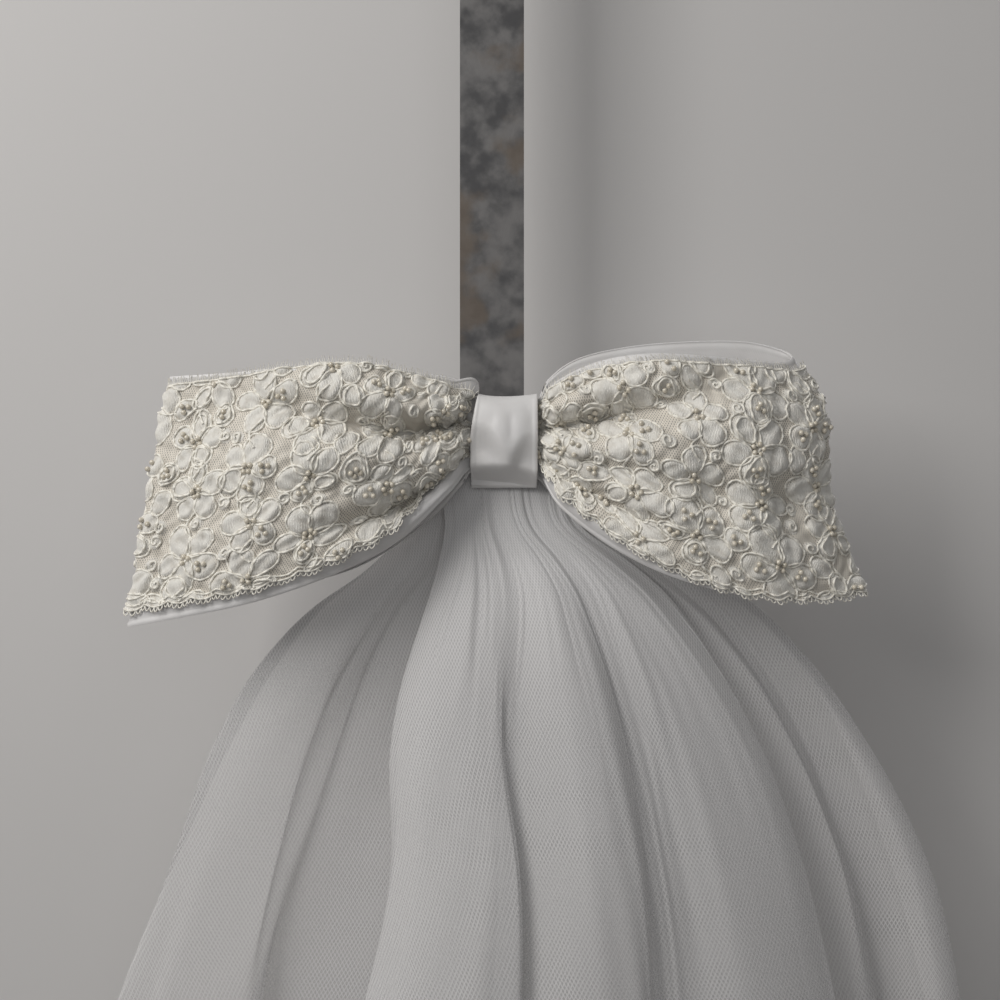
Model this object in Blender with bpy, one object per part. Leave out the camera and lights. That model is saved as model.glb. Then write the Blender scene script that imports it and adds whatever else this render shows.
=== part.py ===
"""A bridal veil on the over-door hanger that holds it.

Two tiers of tulle are gathered behind a pinched satin bow. Beaded lace covers the front of each loop,
a satin band wraps the pinch, and a comb behind the bow sits over the hanger's upturned hook.
The origin is on the underside of the hanger's top, where it rests on a door. +X is to the right as
the bow is seen, the bow faces -Y, and +Z is up. Sizes are in millimetres until place() turns them
into metres. Cloth points are (across, depth, height): from the knot's centre to the right, forward
from the strap's front face, and up from the knot's centre.
"""

import math
import random

import bmesh
import bpy
import numpy as np
from mathutils import Vector

MM = 0.001

# The hanger: a bent metal strap that hooks over a door.
DOOR_GAP = 46.0
STRAP_WIDTH = 27.0
STRAP_THICK = 1.5
HANGER_DROP = 305.0
REAR_LIP = 38.0
BEND_RADIUS = 3.0
BEND_STEPS = 5
SHARPEST_BEND = 0.2
HOOK_DEPTH = 12.0
HOOK_BOTTOM = -26.0
HOOK_TIP = 11.0

# The comb, which slides down over the hook's upturned tip as it would into hair.
COMB_WIDTH = 75.0
COMB_TEETH = 19
BAR_DEPTH = (9.0, 15.0)
BAR_HEIGHT = 5.0
TOOTH_DEPTH = 2.4
TOOTH_LENGTH = 33.5
TOOTH_TIP = 0.55
TOOTH_TAPER_FROM = 0.75

# Cloth thicknesses, and the gap left where two pieces meet.
SATIN = 1.2
LACE = 0.9
TULLE = 1.0
GAP = 0.3

# The knot band, a rounded box in section.
BAND_HALF_WIDTH = 13.4
BAND_HALF_HEIGHT = 18.5
BAND_HALF_DEPTH = 8.0
BAND_CENTRE_DEPTH = 31.0
BAND_SQUARENESS = 4.0
BAND_GRID = (28, 8)
# Its front swells in the middle and sags at its top edge.
BAND_SWELL = 1.3
BAND_SAG = 1.1
# A dimple and a slanting crease in its front. Columns: depth, across, height, half-width, half-height.
BAND_DIMPLE = (1.5, 0.2, 0.15, 0.16, 0.28)
BAND_CREASE_DEPTH = 0.8
BAND_CREASE_SLANT = 0.75
BAND_CREASE_HALF = 0.18

# Where the satin leaves the band: beyond it a loop's reach is stretched by its outer edge.
KNOT_EDGE = 13.5
PINCH_RAMP = 2.0
VALLEY_TURN = 3
VALLEY_FADE = 1.25

# The bow hangs a little to the right of the strap's middle.
KNOT_ACROSS = 5.0
STRAP_FRONT = -(DOOR_GAP / 2 + STRAP_THICK)
KNOT_HEIGHT = -(HANGER_DROP + HOOK_BOTTOM - STRAP_THICK)

# Each loop is one ribbon: out from the knot in front, round its outer fold, and back behind.
# Columns: reach from the knot's centre, depth, top edge, bottom edge, how far the edges sit behind.
LOOP_SECTIONS = {
    "left": [
        (0.15, 37.2, 13.0, -11.5, 3.5),
        (13.5, 37.2, 14.6, -12.0, 3.5),
        (22.0, 40.0, 23.5, -21.0, 3.0),
        (40.0, 49.0, 26.8, -39.5, 7.0),
        (62.0, 57.0, 29.6, -52.2, 9.0),
        (92.0, 56.0, 28.0, -63.6, 9.0),
        (120.0, 45.0, 26.4, -70.4, 5.0),
        (137.0, 36.5, 25.8, -74.0, 2.0),
        (143.0, 31.5, 25.6, -75.2, 0.5),
        (138.0, 27.2, 25.3, -73.8, 0.0),
        (118.0, 25.1, 25.0, -68.0, 0.0),
        (85.0, 25.0, 25.5, -60.0, 0.0),
        (55.0, 25.0, 27.2, -50.4, 0.0),
        (30.0, 25.3, 27.0, -32.6, 0.0),
        (17.5, 25.0, 23.6, -18.0, -1.0),
        (13.0, 24.8, 14.6, -12.0, -3.5),
        (0.15, 24.8, 13.0, -11.5, -3.5),
    ],
    "right": [
        (0.15, 37.2, 13.0, -13.0, 3.5),
        (13.5, 37.2, 14.6, -14.6, 3.5),
        (22.0, 41.0, 23.0, -26.8, 3.0),
        (40.0, 50.0, 30.4, -42.6, 7.0),
        (62.0, 58.0, 33.2, -54.6, 9.0),
        (90.0, 57.0, 32.4, -62.6, 9.0),
        (112.0, 48.0, 31.0, -63.8, 6.0),
        (125.0, 37.5, 31.0, -62.4, 2.0),
        (130.0, 31.5, 33.6, -61.0, 0.5),
        (125.0, 27.2, 37.2, -60.0, 0.0),
        (108.0, 25.1, 40.6, -59.0, 0.0),
        (80.0, 25.0, 40.4, -55.0, 0.0),
        (54.0, 25.0, 38.2, -46.0, 0.0),
        (32.0, 25.3, 33.4, -33.0, 0.0),
        (19.0, 25.0, 25.0, -21.0, -1.0),
        (13.0, 24.8, 14.6, -14.6, -3.5),
        (0.15, 24.8, 13.0, -13.0, -3.5),
    ],
}
# The outer fold slants, so the reach beyond the knot is multiplied by a share for each height.
# Columns: height share from the bottom edge, reach share.
OUTER_EDGE = {
    "left": [(0.0, 1.066), (0.5, 1.0), (1.0, 0.934)],
    "right": [(0.0, 1.13), (0.2, 1.06), (0.45, 1.0), (0.65, 1.0), (0.82, 0.975), (1.0, 0.88)],
}
# Valleys that run out from the pinch over the front of a loop.
# Columns: height share at the knot, height share at its end, section it ends at, depth, half-width.
LOOP_VALLEYS = {
    "left": [
        (0.56, 0.84, 5.3, 14.0, 0.090),
        (0.20, 0.24, 4.8, 10.0, 0.080),
        (0.40, 0.48, 7.6, 2.6, 0.10),
    ],
    "right": [
        (0.64, 0.84, 5.2, 14.0, 0.090),
        (0.27, 0.20, 4.6, 9.5, 0.075),
        (0.40, 0.46, 8.2, 4.0, 0.09),
    ],
}
# Dents across a loop's front. Columns: section, height share, depth, half-length in sections, half-height.
LOOP_DENTS = {
    "left": [(6.1, 0.80, 2.5, 0.7, 0.16), (6.6, 0.30, 2.2, 0.6, 0.20)],
    "right": [(4.7, 0.38, 4.4, 0.32, 0.20), (5.9, 0.36, 4.6, 0.40, 0.13), (6.0, 0.80, 2.0, 0.5, 0.12)],
}
# A ring of points for each half section in front, and for each whole one behind.
FRONT_SECTIONS = 9
LOOP_ROWS = 13

# The lace lies on a loop's front and just round its outer fold, between two of the loop's rings.
LACE_RINGS = (3, 17)
LACE_SPLIT = (3, 2)
LACE_HEIGHT = 100.0
LACE_LENGTH = 152.0
SCALLOP_RISE = 0.018
# Columns: section, height share of the lace's lower edge, height share of its upper edge.
LACE_EDGES = {
    "left": [(1.0, 0.03, 0.97), (3.0, 0.04, 0.99), (4.5, 0.055, 1.0), (6.0, 0.058, 0.98), (8.7, 0.058, 0.96)],
    "right": [(1.0, 0.04, 0.97), (3.0, 0.03, 0.98), (4.5, 0.005, 0.98), (6.0, 0.0, 0.97), (8.7, 0.0, 0.94)],
}
# Flowers of raised petals, staggered over the flat lace and nudged off their grid.
FLOWER_PITCH = (27.0, 24.0)
FLOWER_START = (0.62, 0.02)
FLOWER_STAGGER = 0.48
FLOWER_NUDGE = 3.0
FLOWER_SIZES = (0.86, 1.08)
PETALS = 5
PETAL_FROM_CENTRE = 7.4
PETAL_HALF = (4.9, 4.1)
PETAL_RAISE = 0.75
LACE_SEED = {"left": 11, "right": 23}

# The tiers of tulle, a row of points for each section. Columns: drop below the knot, left edge,
# right edge, depth, swell of the middle, share of the folds' full depth, depth of the fine gathers.
TIER_SECTIONS = {
    "veil_back": [
        (-14.0, -34.0, 34.0, 16.95, 0.0, 0.00, 1.05),
        (16.0, -38.0, 40.0, 16.30, 0.0, 0.04, 1.05),
        (36.0, -44.0, 56.0, 15.60, 0.0, 0.08, 1.00),
        (52.0, -58.0, 84.0, 14.60, 0.0, 0.20, 1.10),
        (68.0, -80.0, 108.0, 13.50, 0.0, 0.35, 1.10),
        (90.0, -103.0, 129.0, 12.50, 0.0, 0.55, 0.90),
        (125.0, -121.0, 152.0, 12.50, 0.0, 0.80, 0.50),
        (168.0, -136.0, 172.0, 14.00, 0.0, 1.00, 0.20),
        (250.0, -166.0, 190.0, 18.00, 0.0, 1.20, 0.00),
        (350.0, -190.0, 205.0, 22.00, 0.0, 1.35, 0.00),
        (480.0, -209.0, 218.0, 26.00, 0.0, 1.45, 0.00),
        (620.0, -223.0, 230.0, 28.50, 0.0, 1.55, 0.00),
        (748.0, -232.0, 238.0, 30.00, 0.0, 1.60, 0.00),
    ],
    "veil_front": [
        (-14.0, -29.0, 29.0, 20.55, 0.0, 0.00, 1.05),
        (16.0, -27.0, 26.0, 20.60, 0.0, 0.03, 1.05),
        (36.0, -24.0, 24.0, 20.90, 1.0, 0.08, 1.20),
        (48.0, -26.0, 34.0, 21.30, 3.0, 0.14, 1.40),
        (60.0, -31.0, 60.0, 22.40, 7.0, 0.26, 1.50),
        (75.0, -37.0, 75.0, 23.80, 12.0, 0.40, 1.50),
        (97.0, -44.0, 93.0, 25.60, 18.0, 0.60, 1.40),
        (125.0, -49.0, 107.0, 28.20, 23.0, 0.80, 1.00),
        (167.0, -49.0, 119.0, 32.50, 26.0, 1.00, 0.40),
        (240.0, -60.0, 134.0, 37.50, 26.0, 1.10, 0.10),
        (330.0, -78.0, 145.0, 43.50, 24.0, 1.20, 0.00),
        (415.0, -94.0, 152.0, 47.50, 22.0, 1.25, 0.00),
        (494.0, -106.0, 156.0, 50.00, 20.0, 1.30, 0.00),
    ],
}
# Folds from left to right. Columns: ridge across, ridge forward, valley across, valley forward.
TIER_FOLDS = {
    "veil_back": [
        (0.030, 3.0, 0.090, -4.0),
        (0.185, 7.0, 0.215, -6.0),
        (0.290, 3.0, 0.350, -6.0),
        (0.420, 6.0, 0.475, -5.0),
        (0.540, 6.5, 0.600, -6.0),
        (0.660, 6.0, 0.715, -6.0),
        (0.775, 6.5, 0.820, -6.0),
        (0.870, 7.0, 0.925, -4.0),
        (0.965, 6.0, 1.000, -3.0),
    ],
    "veil_front": [
        (0.030, 5.0, 0.100, -4.0),
        (0.210, 4.0, 0.335, -6.0),
        (0.315, 8.0, 0.420, 0.0),
        (0.500, 5.5, 0.560, -3.0),
        (0.620, 7.5, 0.700, 0.0),
        (0.790, 6.0, 0.860, -4.0),
        (0.940, 5.0, 1.000, -6.5),
    ],
}
TIER_GATHERS = {"veil_back": 14, "veil_front": 14}
TIER_COLUMNS = {"veil_back": 60, "veil_front": 60}
# A tier's lower corners are rounded, and its swell leans to one side.
CORNER_RISE = 0.13
SWELL_LEAN = 0.8

MATERIALS = {
    "satin": ((0.86, 0.85, 0.84), 0.38, 0.0),
    "lace": ((0.84, 0.80, 0.72), 0.62, 0.0),
    "tulle": ((0.88, 0.88, 0.88), 0.70, 0.0),
    "comb": ((0.90, 0.90, 0.88), 0.30, 0.0),
    "galvanised": ((0.25, 0.24, 0.24), 0.50, 0.9),
}


def place(across, depth, height):
    """A point of the row frame in metres, from cloth millimetres."""
    return Vector((KNOT_ACROSS + across, STRAP_FRONT - depth, KNOT_HEIGHT + height)) * MM


def smooth(value):
    """An ease from 0 to 1 as value goes from 0 to 1."""
    value = min(max(value, 0.0), 1.0)
    return value * value * (3.0 - 2.0 * value)


def curve(keys, values, at):
    """A smooth curve through values at their keys, read at one place."""
    keys = np.asarray(keys, float)
    values = np.asarray(values, float)
    slopes = np.gradient(values, keys)
    i = int(np.clip(np.searchsorted(keys, at) - 1, 0, len(keys) - 2))
    span = keys[i + 1] - keys[i]
    f = min(max((at - keys[i]) / span, 0.0), 1.0)
    rest = 1.0 - f
    ends = rest * rest * (1 + 2 * f) * values[i] + f * f * (3 - 2 * f) * values[i + 1]
    return ends + span * f * rest * (rest * slopes[i] - f * slopes[i + 1])


def section(table, at, column):
    """One column of a loop's table, read between its numbered rows."""
    return curve(range(len(table)), [row[column] for row in table], at)


def loop_point(side, station, share):
    """A point on the middle of a loop's ribbon, at a station along it and a share of its height."""
    table = LOOP_SECTIONS[side]
    reach, depth, top, bottom, crown = (section(table, station, c) for c in range(5))
    stretch = curve(*zip(*OUTER_EDGE[side]), share)
    beyond = max(reach - KNOT_EDGE, 0.0)
    across = min(reach, KNOT_EDGE) + beyond * stretch
    depth -= crown * (2 * share - 1) ** 2
    for start, end, last, deep, half in LOOP_VALLEYS[side]:
        if station < last:
            centre = start + (end - start) * (station / last) ** VALLEY_TURN
            fade = (1 - (station / last) ** 2) ** VALLEY_FADE
            opening = 0.3 + 0.7 * smooth((station - 1.0) / PINCH_RAMP)
            depth -= deep * opening * fade * math.exp(-(((share - centre) / half) ** 2))
    for middle, height, deep, half_length, half_height in LOOP_DENTS[side]:
        away = ((station - middle) / half_length) ** 2 + ((share - height) / half_height) ** 2
        depth -= deep * math.exp(-away)
    sign = -1.0 if side == "left" else 1.0
    return np.array((sign * across, depth, bottom + (top - bottom) * share))


def flowers(side):
    """The centre, turn and size of each flower on the flat lace, staggered and nudged."""
    chance = random.Random(LACE_SEED[side])
    pitch_along, pitch_up = FLOWER_PITCH
    for column in range(int(LACE_LENGTH / pitch_along) + 1):
        for row in range(int(LACE_HEIGHT / pitch_up) + 1):
            along = (column + FLOWER_START[0]) * pitch_along + chance.uniform(-FLOWER_NUDGE, FLOWER_NUDGE)
            up = (row + FLOWER_START[1] + FLOWER_STAGGER * (column % 2)) * pitch_up
            up += chance.uniform(-FLOWER_NUDGE, FLOWER_NUDGE)
            turn = chance.uniform(0.0, 2 * math.pi / PETALS)
            size = chance.uniform(*FLOWER_SIZES)
            yield along, up, turn, size


def petal_raise(petals, along, up):
    """How far a point of the flat lace is raised by the petal that it lies on."""
    best = 0.0
    for centre_along, centre_up, turn, size in petals:
        out = (along - centre_along) * math.cos(turn) + (up - centre_up) * math.sin(turn)
        side = (up - centre_up) * math.cos(turn) - (along - centre_along) * math.sin(turn)
        away = math.hypot(out / (PETAL_HALF[0] * size), side / (PETAL_HALF[1] * size))
        best = max(best, 1 - away**4)
    return PETAL_RAISE * best


def petals_of(side):
    """The centre, turn and size of each petal of each flower."""
    found = []
    for along, up, turn, size in flowers(side):
        for k in range(PETALS):
            angle = turn + 2 * math.pi * k / PETALS
            reach = PETAL_FROM_CENTRE * size
            found.append((along + reach * math.cos(angle), up + reach * math.sin(angle), angle, size))
    return found


def tier_point(tier, u, w):
    """A point on the middle of a tier, u from left to right and w from the gathers to the hem."""
    table = TIER_SECTIONS[tier]
    drops = [row[0] for row in table]
    drop = curve(range(len(drops)), drops, w * (len(drops) - 1))
    drop -= CORNER_RISE * abs(2 * u - 1) ** 4 * max(drop, 0.0) ** 2 / drops[-1]
    left, right, depth, swell, growth, gather = (
        curve(drops, [row[c] for row in table], drop) for c in range(1, 7)
    )
    points = [(0.0, 0.0)]
    for ridge_across, ridge_forward, valley_across, valley_forward in TIER_FOLDS[tier]:
        points += [(ridge_across, ridge_forward), (valley_across, valley_forward)]
    at = u * (len(points) - 1)
    settled = min(max(growth, 0.0), 1.0)
    across = u + (curve(range(len(points)), [p[0] for p in points], at) - u) * settled
    forward = curve(range(len(points)), [p[1] for p in points], at) * growth
    forward += gather * math.sin(2 * math.pi * TIER_GATHERS[tier] * u)
    forward += swell * math.sin(math.pi * min(max(across, 0.0), 1.0) ** SWELL_LEAN)
    return left + (right - left) * across, depth + forward, -drop


def band_point(turn, width):
    """A point on the middle of the knot band, a turn round its section and a share of its width."""
    angle = 2 * math.pi * turn
    power = 2.0 / BAND_SQUARENESS
    c, s = math.cos(angle), math.sin(angle)
    forward = math.copysign(abs(c) ** power, c)
    height = math.copysign(abs(s) ** power, s)
    side = 2 * width - 1
    deep, across, up, half_across, half_up = BAND_DIMPLE
    dimple = deep * math.exp(-(((side - across) / half_across) ** 2) - (((height - up) / half_up) ** 2))
    slant = (side + BAND_CREASE_SLANT * height) / BAND_CREASE_HALF
    crease = BAND_CREASE_DEPTH * math.exp(-(slant**2)) * (1 - height**2)
    depth = BAND_CENTRE_DEPTH + BAND_HALF_DEPTH * forward
    sag = 0.0
    if forward > 0:
        depth += (BAND_SWELL * (1 - side**2) - dimple - crease) * forward
        sag = BAND_SAG * (1 - side**2) * max(height, 0.0) ** 3
    return BAND_HALF_WIDTH * side, depth, BAND_HALF_HEIGHT * height - sag


def add_object(name, bm, material):
    """Puts a finished bmesh in the scene as one named, smooth-shaded object."""
    mesh = bpy.data.meshes.new(name)
    bm.to_mesh(mesh)
    bm.free()
    mesh.materials.append(bpy.data.materials[material])
    mesh.shade_smooth()
    obj = bpy.data.objects.new(name, mesh)
    bpy.context.scene.collection.objects.link(obj)
    return obj


def shaped_grid(columns, rows, shape):
    """A grid whose points a function of two shares moves into place."""
    bm = bmesh.new()
    bmesh.ops.create_grid(bm, x_segments=columns, y_segments=rows, size=0.5)
    for vert in bm.verts:
        vert.co = place(*shape(vert.co.x + 0.5, vert.co.y + 0.5))
    return bm


def thicken(obj, thickness):
    """Gives a sheet its thickness, half on each side."""
    solidify = obj.modifiers.new("wall", "SOLIDIFY")
    solidify.thickness = thickness * MM
    solidify.offset = 0.0


def loop_stations(side):
    """The station of each ring of points along a loop's ribbon."""
    last = len(LOOP_SECTIONS[side]) - 1
    return [k / 2 for k in range(2 * FRONT_SECTIONS)] + list(range(FRONT_SECTIONS, last + 1))


def loop_grid(side):
    """The middle of one loop's ribbon as a bmesh, and its points ring by ring."""
    bm = bmesh.new()
    rings = [
        [bm.verts.new(place(*loop_point(side, station, j / LOOP_ROWS))) for j in range(LOOP_ROWS + 1)]
        for station in loop_stations(side)
    ]
    add_quads(bm, rings, side == "left")
    bm.normal_update()
    return bm, rings


def make_loop(side):
    """One satin loop of the bow."""
    bm, _ = loop_grid(side)
    thicken(add_object(f"bow_loop_{side}", bm, "satin"), SATIN)


def make_band():
    """The satin band round the pinch: a strip whose two ends are joined behind."""
    bm = shaped_grid(*BAND_GRID, lambda u, v: band_point(u + 0.5, v))
    bmesh.ops.remove_doubles(bm, verts=bm.verts, dist=1e-6)
    thicken(add_object("bow_knot", bm, "satin"), SATIN)


def make_tier(tier):
    """One tier of tulle."""
    rows = len(TIER_SECTIONS[tier]) - 1
    bm = shaped_grid(TIER_COLUMNS[tier], rows, lambda u, v: tier_point(tier, u, v))
    thicken(add_object(tier, bm, "tulle"), TULLE)


def add_quads(bm, rings, turned):
    """Joins neighbouring rings of points with four-sided faces."""
    for near, far in zip(rings, rings[1:]):
        for j in range(len(near) - 1):
            quad = [near[j], far[j], far[j + 1], near[j + 1]]
            if turned:
                quad[1], quad[3] = quad[3], quad[1]
            bm.faces.new(quad)


def stitch(bm, fine, coarse, split):
    """Closes the rim between an edge of the outer grid and an inner edge with fewer points."""
    half = split // 2
    for k in range(len(coarse) - 1):
        run = fine[split * k : split * (k + 1) + 1]
        for i in range(split):
            corner = coarse[k] if i <= half else coarse[k + 1]
            bm.faces.new((run[i], run[i + 1], corner))
            if i == half:
                bm.faces.new((run[i + 1], coarse[k + 1], corner))


def between(points, at):
    """A point between the two that lie on either side of a place in a list."""
    i = min(int(at), len(points) - 2)
    return points[i].lerp(points[i + 1], at - i)


def lace_row(side, station, row):
    """A row of the loop's grid, held between the lace's lower and upper edges."""
    table = LACE_EDGES[side]
    keys = [line[0] for line in table]
    low = curve(keys, [line[1] for line in table], station) + SCALLOP_RISE
    high = curve(keys, [line[2] for line in table], station)
    return min(max(row, low * LOOP_ROWS), high * LOOP_ROWS)


def make_lace(side):
    """The lace on one loop, from the loop's own points: raised petals outside, plain inside."""
    petals = petals_of(side)
    stations = loop_stations(side)
    first, last = LACE_RINGS
    panel, rings = loop_grid(side)
    inner_lift = (SATIN / 2 + GAP) * MM

    def on_panel(ring, row):
        """The point and normal of the loop at fractions of its rings and rows."""
        i = min(int(ring), len(rings) - 2)
        points = [between([v.co for v in rings[k]], row) for k in (i, i + 1)]
        normals = [between([v.normal for v in rings[k]], row) for k in (i, i + 1)]
        return points[0].lerp(points[1], ring - i), normals[0].lerp(normals[1], ring - i).normalized()

    split_along, split_up = LACE_SPLIT
    bm = bmesh.new()
    outer, inner = [], []
    for i in range((last - first) * split_along + 1):
        ring = first + i / split_along
        station = float(np.interp(ring, range(len(stations)), stations))
        rows = [lace_row(side, station, row) for row in range(LOOP_ROWS + 1)]
        inner_here, outer_here = [], []
        for j in range(LOOP_ROWS * split_up + 1):
            row = float(np.interp(j / split_up, range(len(rows)), rows))
            if j == 0 and i % split_along:
                row -= SCALLOP_RISE * LOOP_ROWS
            point, normal = on_panel(ring, max(row, 0.0))
            along = LACE_LENGTH * (ring - first) / (last - first)
            lift = LACE + petal_raise(petals, along, LACE_HEIGHT * row / LOOP_ROWS)
            outer_here.append(bm.verts.new(point + normal * (inner_lift + lift * MM)))
            if i % split_along == 0 and j % split_up == 0:
                inner_here.append(bm.verts.new(point + normal * inner_lift))
        outer.append(outer_here)
        if inner_here:
            inner.append(inner_here)
    panel.free()
    add_quads(bm, outer, False)
    add_quads(bm, inner, True)
    for fine, coarse, split in (
        ([ring[0] for ring in outer], [ring[0] for ring in inner], split_along),
        ([ring[-1] for ring in outer], [ring[-1] for ring in inner], split_along),
        (outer[0], inner[0], split_up),
        (outer[-1], inner[-1], split_up),
    ):
        stitch(bm, fine, coarse, split)
    bmesh.ops.recalc_face_normals(bm, faces=bm.faces)
    if bm.calc_volume(signed=True) < 0:
        bmesh.ops.reverse_faces(bm, faces=bm.faces)
    add_object(f"lace_{side}", bm, "lace")


def strap_line():
    """The strap's inner face in side view, as (y, height) points with a turn at each bend."""
    half = DOOR_GAP / 2
    bottom = KNOT_HEIGHT + HOOK_BOTTOM
    hook_radius = HOOK_DEPTH / 2
    line = [(half, -REAR_LIP)]
    line += arc((half - BEND_RADIUS, -BEND_RADIUS), BEND_RADIUS, 0, 90)
    line += arc((-half + BEND_RADIUS, -BEND_RADIUS), BEND_RADIUS, 90, 180)
    front = STRAP_FRONT + STRAP_THICK
    hook_centre = (front - STRAP_THICK - hook_radius, bottom + hook_radius)
    line += arc(hook_centre, hook_radius + STRAP_THICK, 0, -180, BEND_STEPS * 2)
    line.append((front - 2 * STRAP_THICK - HOOK_DEPTH, KNOT_HEIGHT + HOOK_TIP))
    return line


def arc(centre, radius, start, end, steps=BEND_STEPS):
    """Points on an arc about a centre, with angles in degrees."""
    angles = np.radians(np.linspace(start, end, steps + 1))
    return [(centre[0] + radius * math.cos(a), centre[1] + radius * math.sin(a)) for a in angles]


def make_hanger():
    """The strap: its side view drawn once, given its thickness, and extruded to its width."""
    line = [Vector(p) for p in strap_line()]
    other = []
    for k, point in enumerate(line):
        before = (point - line[k - 1]).normalized() if k else (line[1] - point).normalized()
        after = (line[k + 1] - point).normalized() if k + 1 < len(line) else before
        bisector = (before + after).normalized()
        normal = Vector((bisector.y, -bisector.x))
        other.append(point + normal * STRAP_THICK / max(bisector.dot(before), SHARPEST_BEND))
    bm = bmesh.new()
    outline = line + list(reversed(other))
    half = STRAP_WIDTH / 2
    verts = [bm.verts.new(Vector((-half, p.x, p.y)) * MM) for p in outline]
    n = len(line)
    strips = [
        bm.faces.new((verts[k], verts[k + 1], verts[2 * n - 2 - k], verts[2 * n - 1 - k]))
        for k in range(n - 1)
    ]
    grown = bmesh.ops.extrude_face_region(bm, geom=strips)
    moved = [item for item in grown["geom"] if isinstance(item, bmesh.types.BMVert)]
    bmesh.ops.translate(bm, verts=moved, vec=Vector((STRAP_WIDTH * MM, 0.0, 0.0)))
    bmesh.ops.recalc_face_normals(bm, faces=bm.faces)
    add_object("hanger", bm, "galvanised")


def lower(face, height):
    """Moves a face's corners down to one height."""
    for vert in face.verts:
        vert.co.z = (KNOT_HEIGHT + height) * MM


def make_comb():
    """The comb: a bar whose underside is drawn out into teeth behind the hook's tip."""
    underside = HOOK_TIP + GAP
    back, front = BAR_DEPTH
    places = np.linspace(-COMB_WIDTH / 2, COMB_WIDTH / 2, 2 * COMB_TEETH)
    bm = bmesh.new()
    rings = []
    for across in places:
        ring = [(back, 0.0), (back + TOOTH_DEPTH, 0.0), (front, 0.0)]
        ring += [(front, BAR_HEIGHT), (back, BAR_HEIGHT)]
        rings.append([bm.verts.new(place(across, d, underside + h)) for d, h in ring])
    roots = []
    for k in range(len(rings) - 1):
        for j in range(5):
            face = bm.faces.new((rings[k][j], rings[k][j - 1], rings[k + 1][j - 1], rings[k + 1][j]))
            if j == 1 and k % 2 == 0:
                roots.append(face)
    bm.faces.new(rings[0])
    bm.faces.new(list(reversed(rings[-1])))
    for root in roots:
        grown = bmesh.ops.extrude_discrete_faces(bm, faces=[root])["faces"][0]
        lower(grown, underside - TOOTH_LENGTH * TOOTH_TAPER_FROM)
        grown = bmesh.ops.extrude_discrete_faces(bm, faces=[grown])["faces"][0]
        lower(grown, underside - TOOTH_LENGTH)
        middle = grown.calc_center_median()
        for vert in grown.verts:
            vert.co = middle + (vert.co - middle) * TOOTH_TIP
    bmesh.ops.recalc_face_normals(bm, faces=bm.faces)
    add_object("comb", bm, "comb")


def make_materials():
    """One Principled material for each kind of stuff."""
    for name, (colour, roughness, metallic) in MATERIALS.items():
        material = bpy.data.materials.new(name)
        material.use_nodes = True
        shader = material.node_tree.nodes["Principled BSDF"]
        shader.inputs["Base Color"].default_value = (*colour, 1.0)
        shader.inputs["Roughness"].default_value = roughness
        shader.inputs["Metallic"].default_value = metallic


def main():
    """Clears the scene and builds each piece."""
    for obj in list(bpy.data.objects):
        bpy.data.objects.remove(obj, do_unlink=True)
    make_materials()
    make_hanger()
    make_comb()
    for side in ("left", "right"):
        make_loop(side)
        make_lace(side)
    make_band()
    for tier in TIER_SECTIONS:
        make_tier(tier)


main()
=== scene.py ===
"""A bow bridal veil on its over-door hanger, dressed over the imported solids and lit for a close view.

Cloth points are in millimetres as (across, depth, height): from the knot's centre to the right, forward
from the strap's front face, and up from the knot's centre. ClothSpace turns them into metres. The lace
is laid out flat as (along, up) from the knot's side and its lower edge, and then laid on its loop.
"""

import logging
import math
import random
from dataclasses import dataclass, field
from enum import Enum

import bpy
import numpy as np
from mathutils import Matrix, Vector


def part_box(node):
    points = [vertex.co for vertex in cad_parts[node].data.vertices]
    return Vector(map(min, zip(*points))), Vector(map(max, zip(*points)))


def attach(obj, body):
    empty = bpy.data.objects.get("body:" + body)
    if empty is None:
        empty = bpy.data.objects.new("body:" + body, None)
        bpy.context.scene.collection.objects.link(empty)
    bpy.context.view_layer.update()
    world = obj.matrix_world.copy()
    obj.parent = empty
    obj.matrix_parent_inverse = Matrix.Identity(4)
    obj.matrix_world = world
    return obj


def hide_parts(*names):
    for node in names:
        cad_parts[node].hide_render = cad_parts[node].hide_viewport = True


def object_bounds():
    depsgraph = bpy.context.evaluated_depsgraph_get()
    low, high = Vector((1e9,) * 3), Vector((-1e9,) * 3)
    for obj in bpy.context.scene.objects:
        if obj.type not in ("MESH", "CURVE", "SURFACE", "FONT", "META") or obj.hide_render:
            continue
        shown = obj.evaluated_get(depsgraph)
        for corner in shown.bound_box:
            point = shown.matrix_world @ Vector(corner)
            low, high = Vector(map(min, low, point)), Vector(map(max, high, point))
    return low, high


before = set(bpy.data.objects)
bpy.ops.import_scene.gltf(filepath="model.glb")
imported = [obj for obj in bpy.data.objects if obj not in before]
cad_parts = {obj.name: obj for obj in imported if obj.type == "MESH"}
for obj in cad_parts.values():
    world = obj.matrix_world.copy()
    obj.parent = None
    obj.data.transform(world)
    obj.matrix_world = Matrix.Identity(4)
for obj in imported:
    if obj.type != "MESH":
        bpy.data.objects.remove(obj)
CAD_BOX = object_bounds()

log = logging.getLogger("veil")

MM = 0.001
BODY = "root"

# Turns cloth axes (across, depth, height) into the frame's (x, y, z).
TO_FRAME = np.array((1.0, -1.0, 1.0))

Array = np.ndarray
Rows = tuple[tuple[float, ...], ...]
Colour = tuple[float, float, float]


class Side(Enum):
    """The side of the bow, as it is seen."""

    LEFT = "left"
    RIGHT = "right"

    @property
    def sign(self) -> float:
        """Which way the side lies from the knot."""
        return -1.0 if self is Side.LEFT else 1.0


class Hold(Enum):
    """How a sheet of cloth is held."""

    FOLDED = "folded"
    GATHERED = "gathered"
    LAID = "laid"


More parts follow.
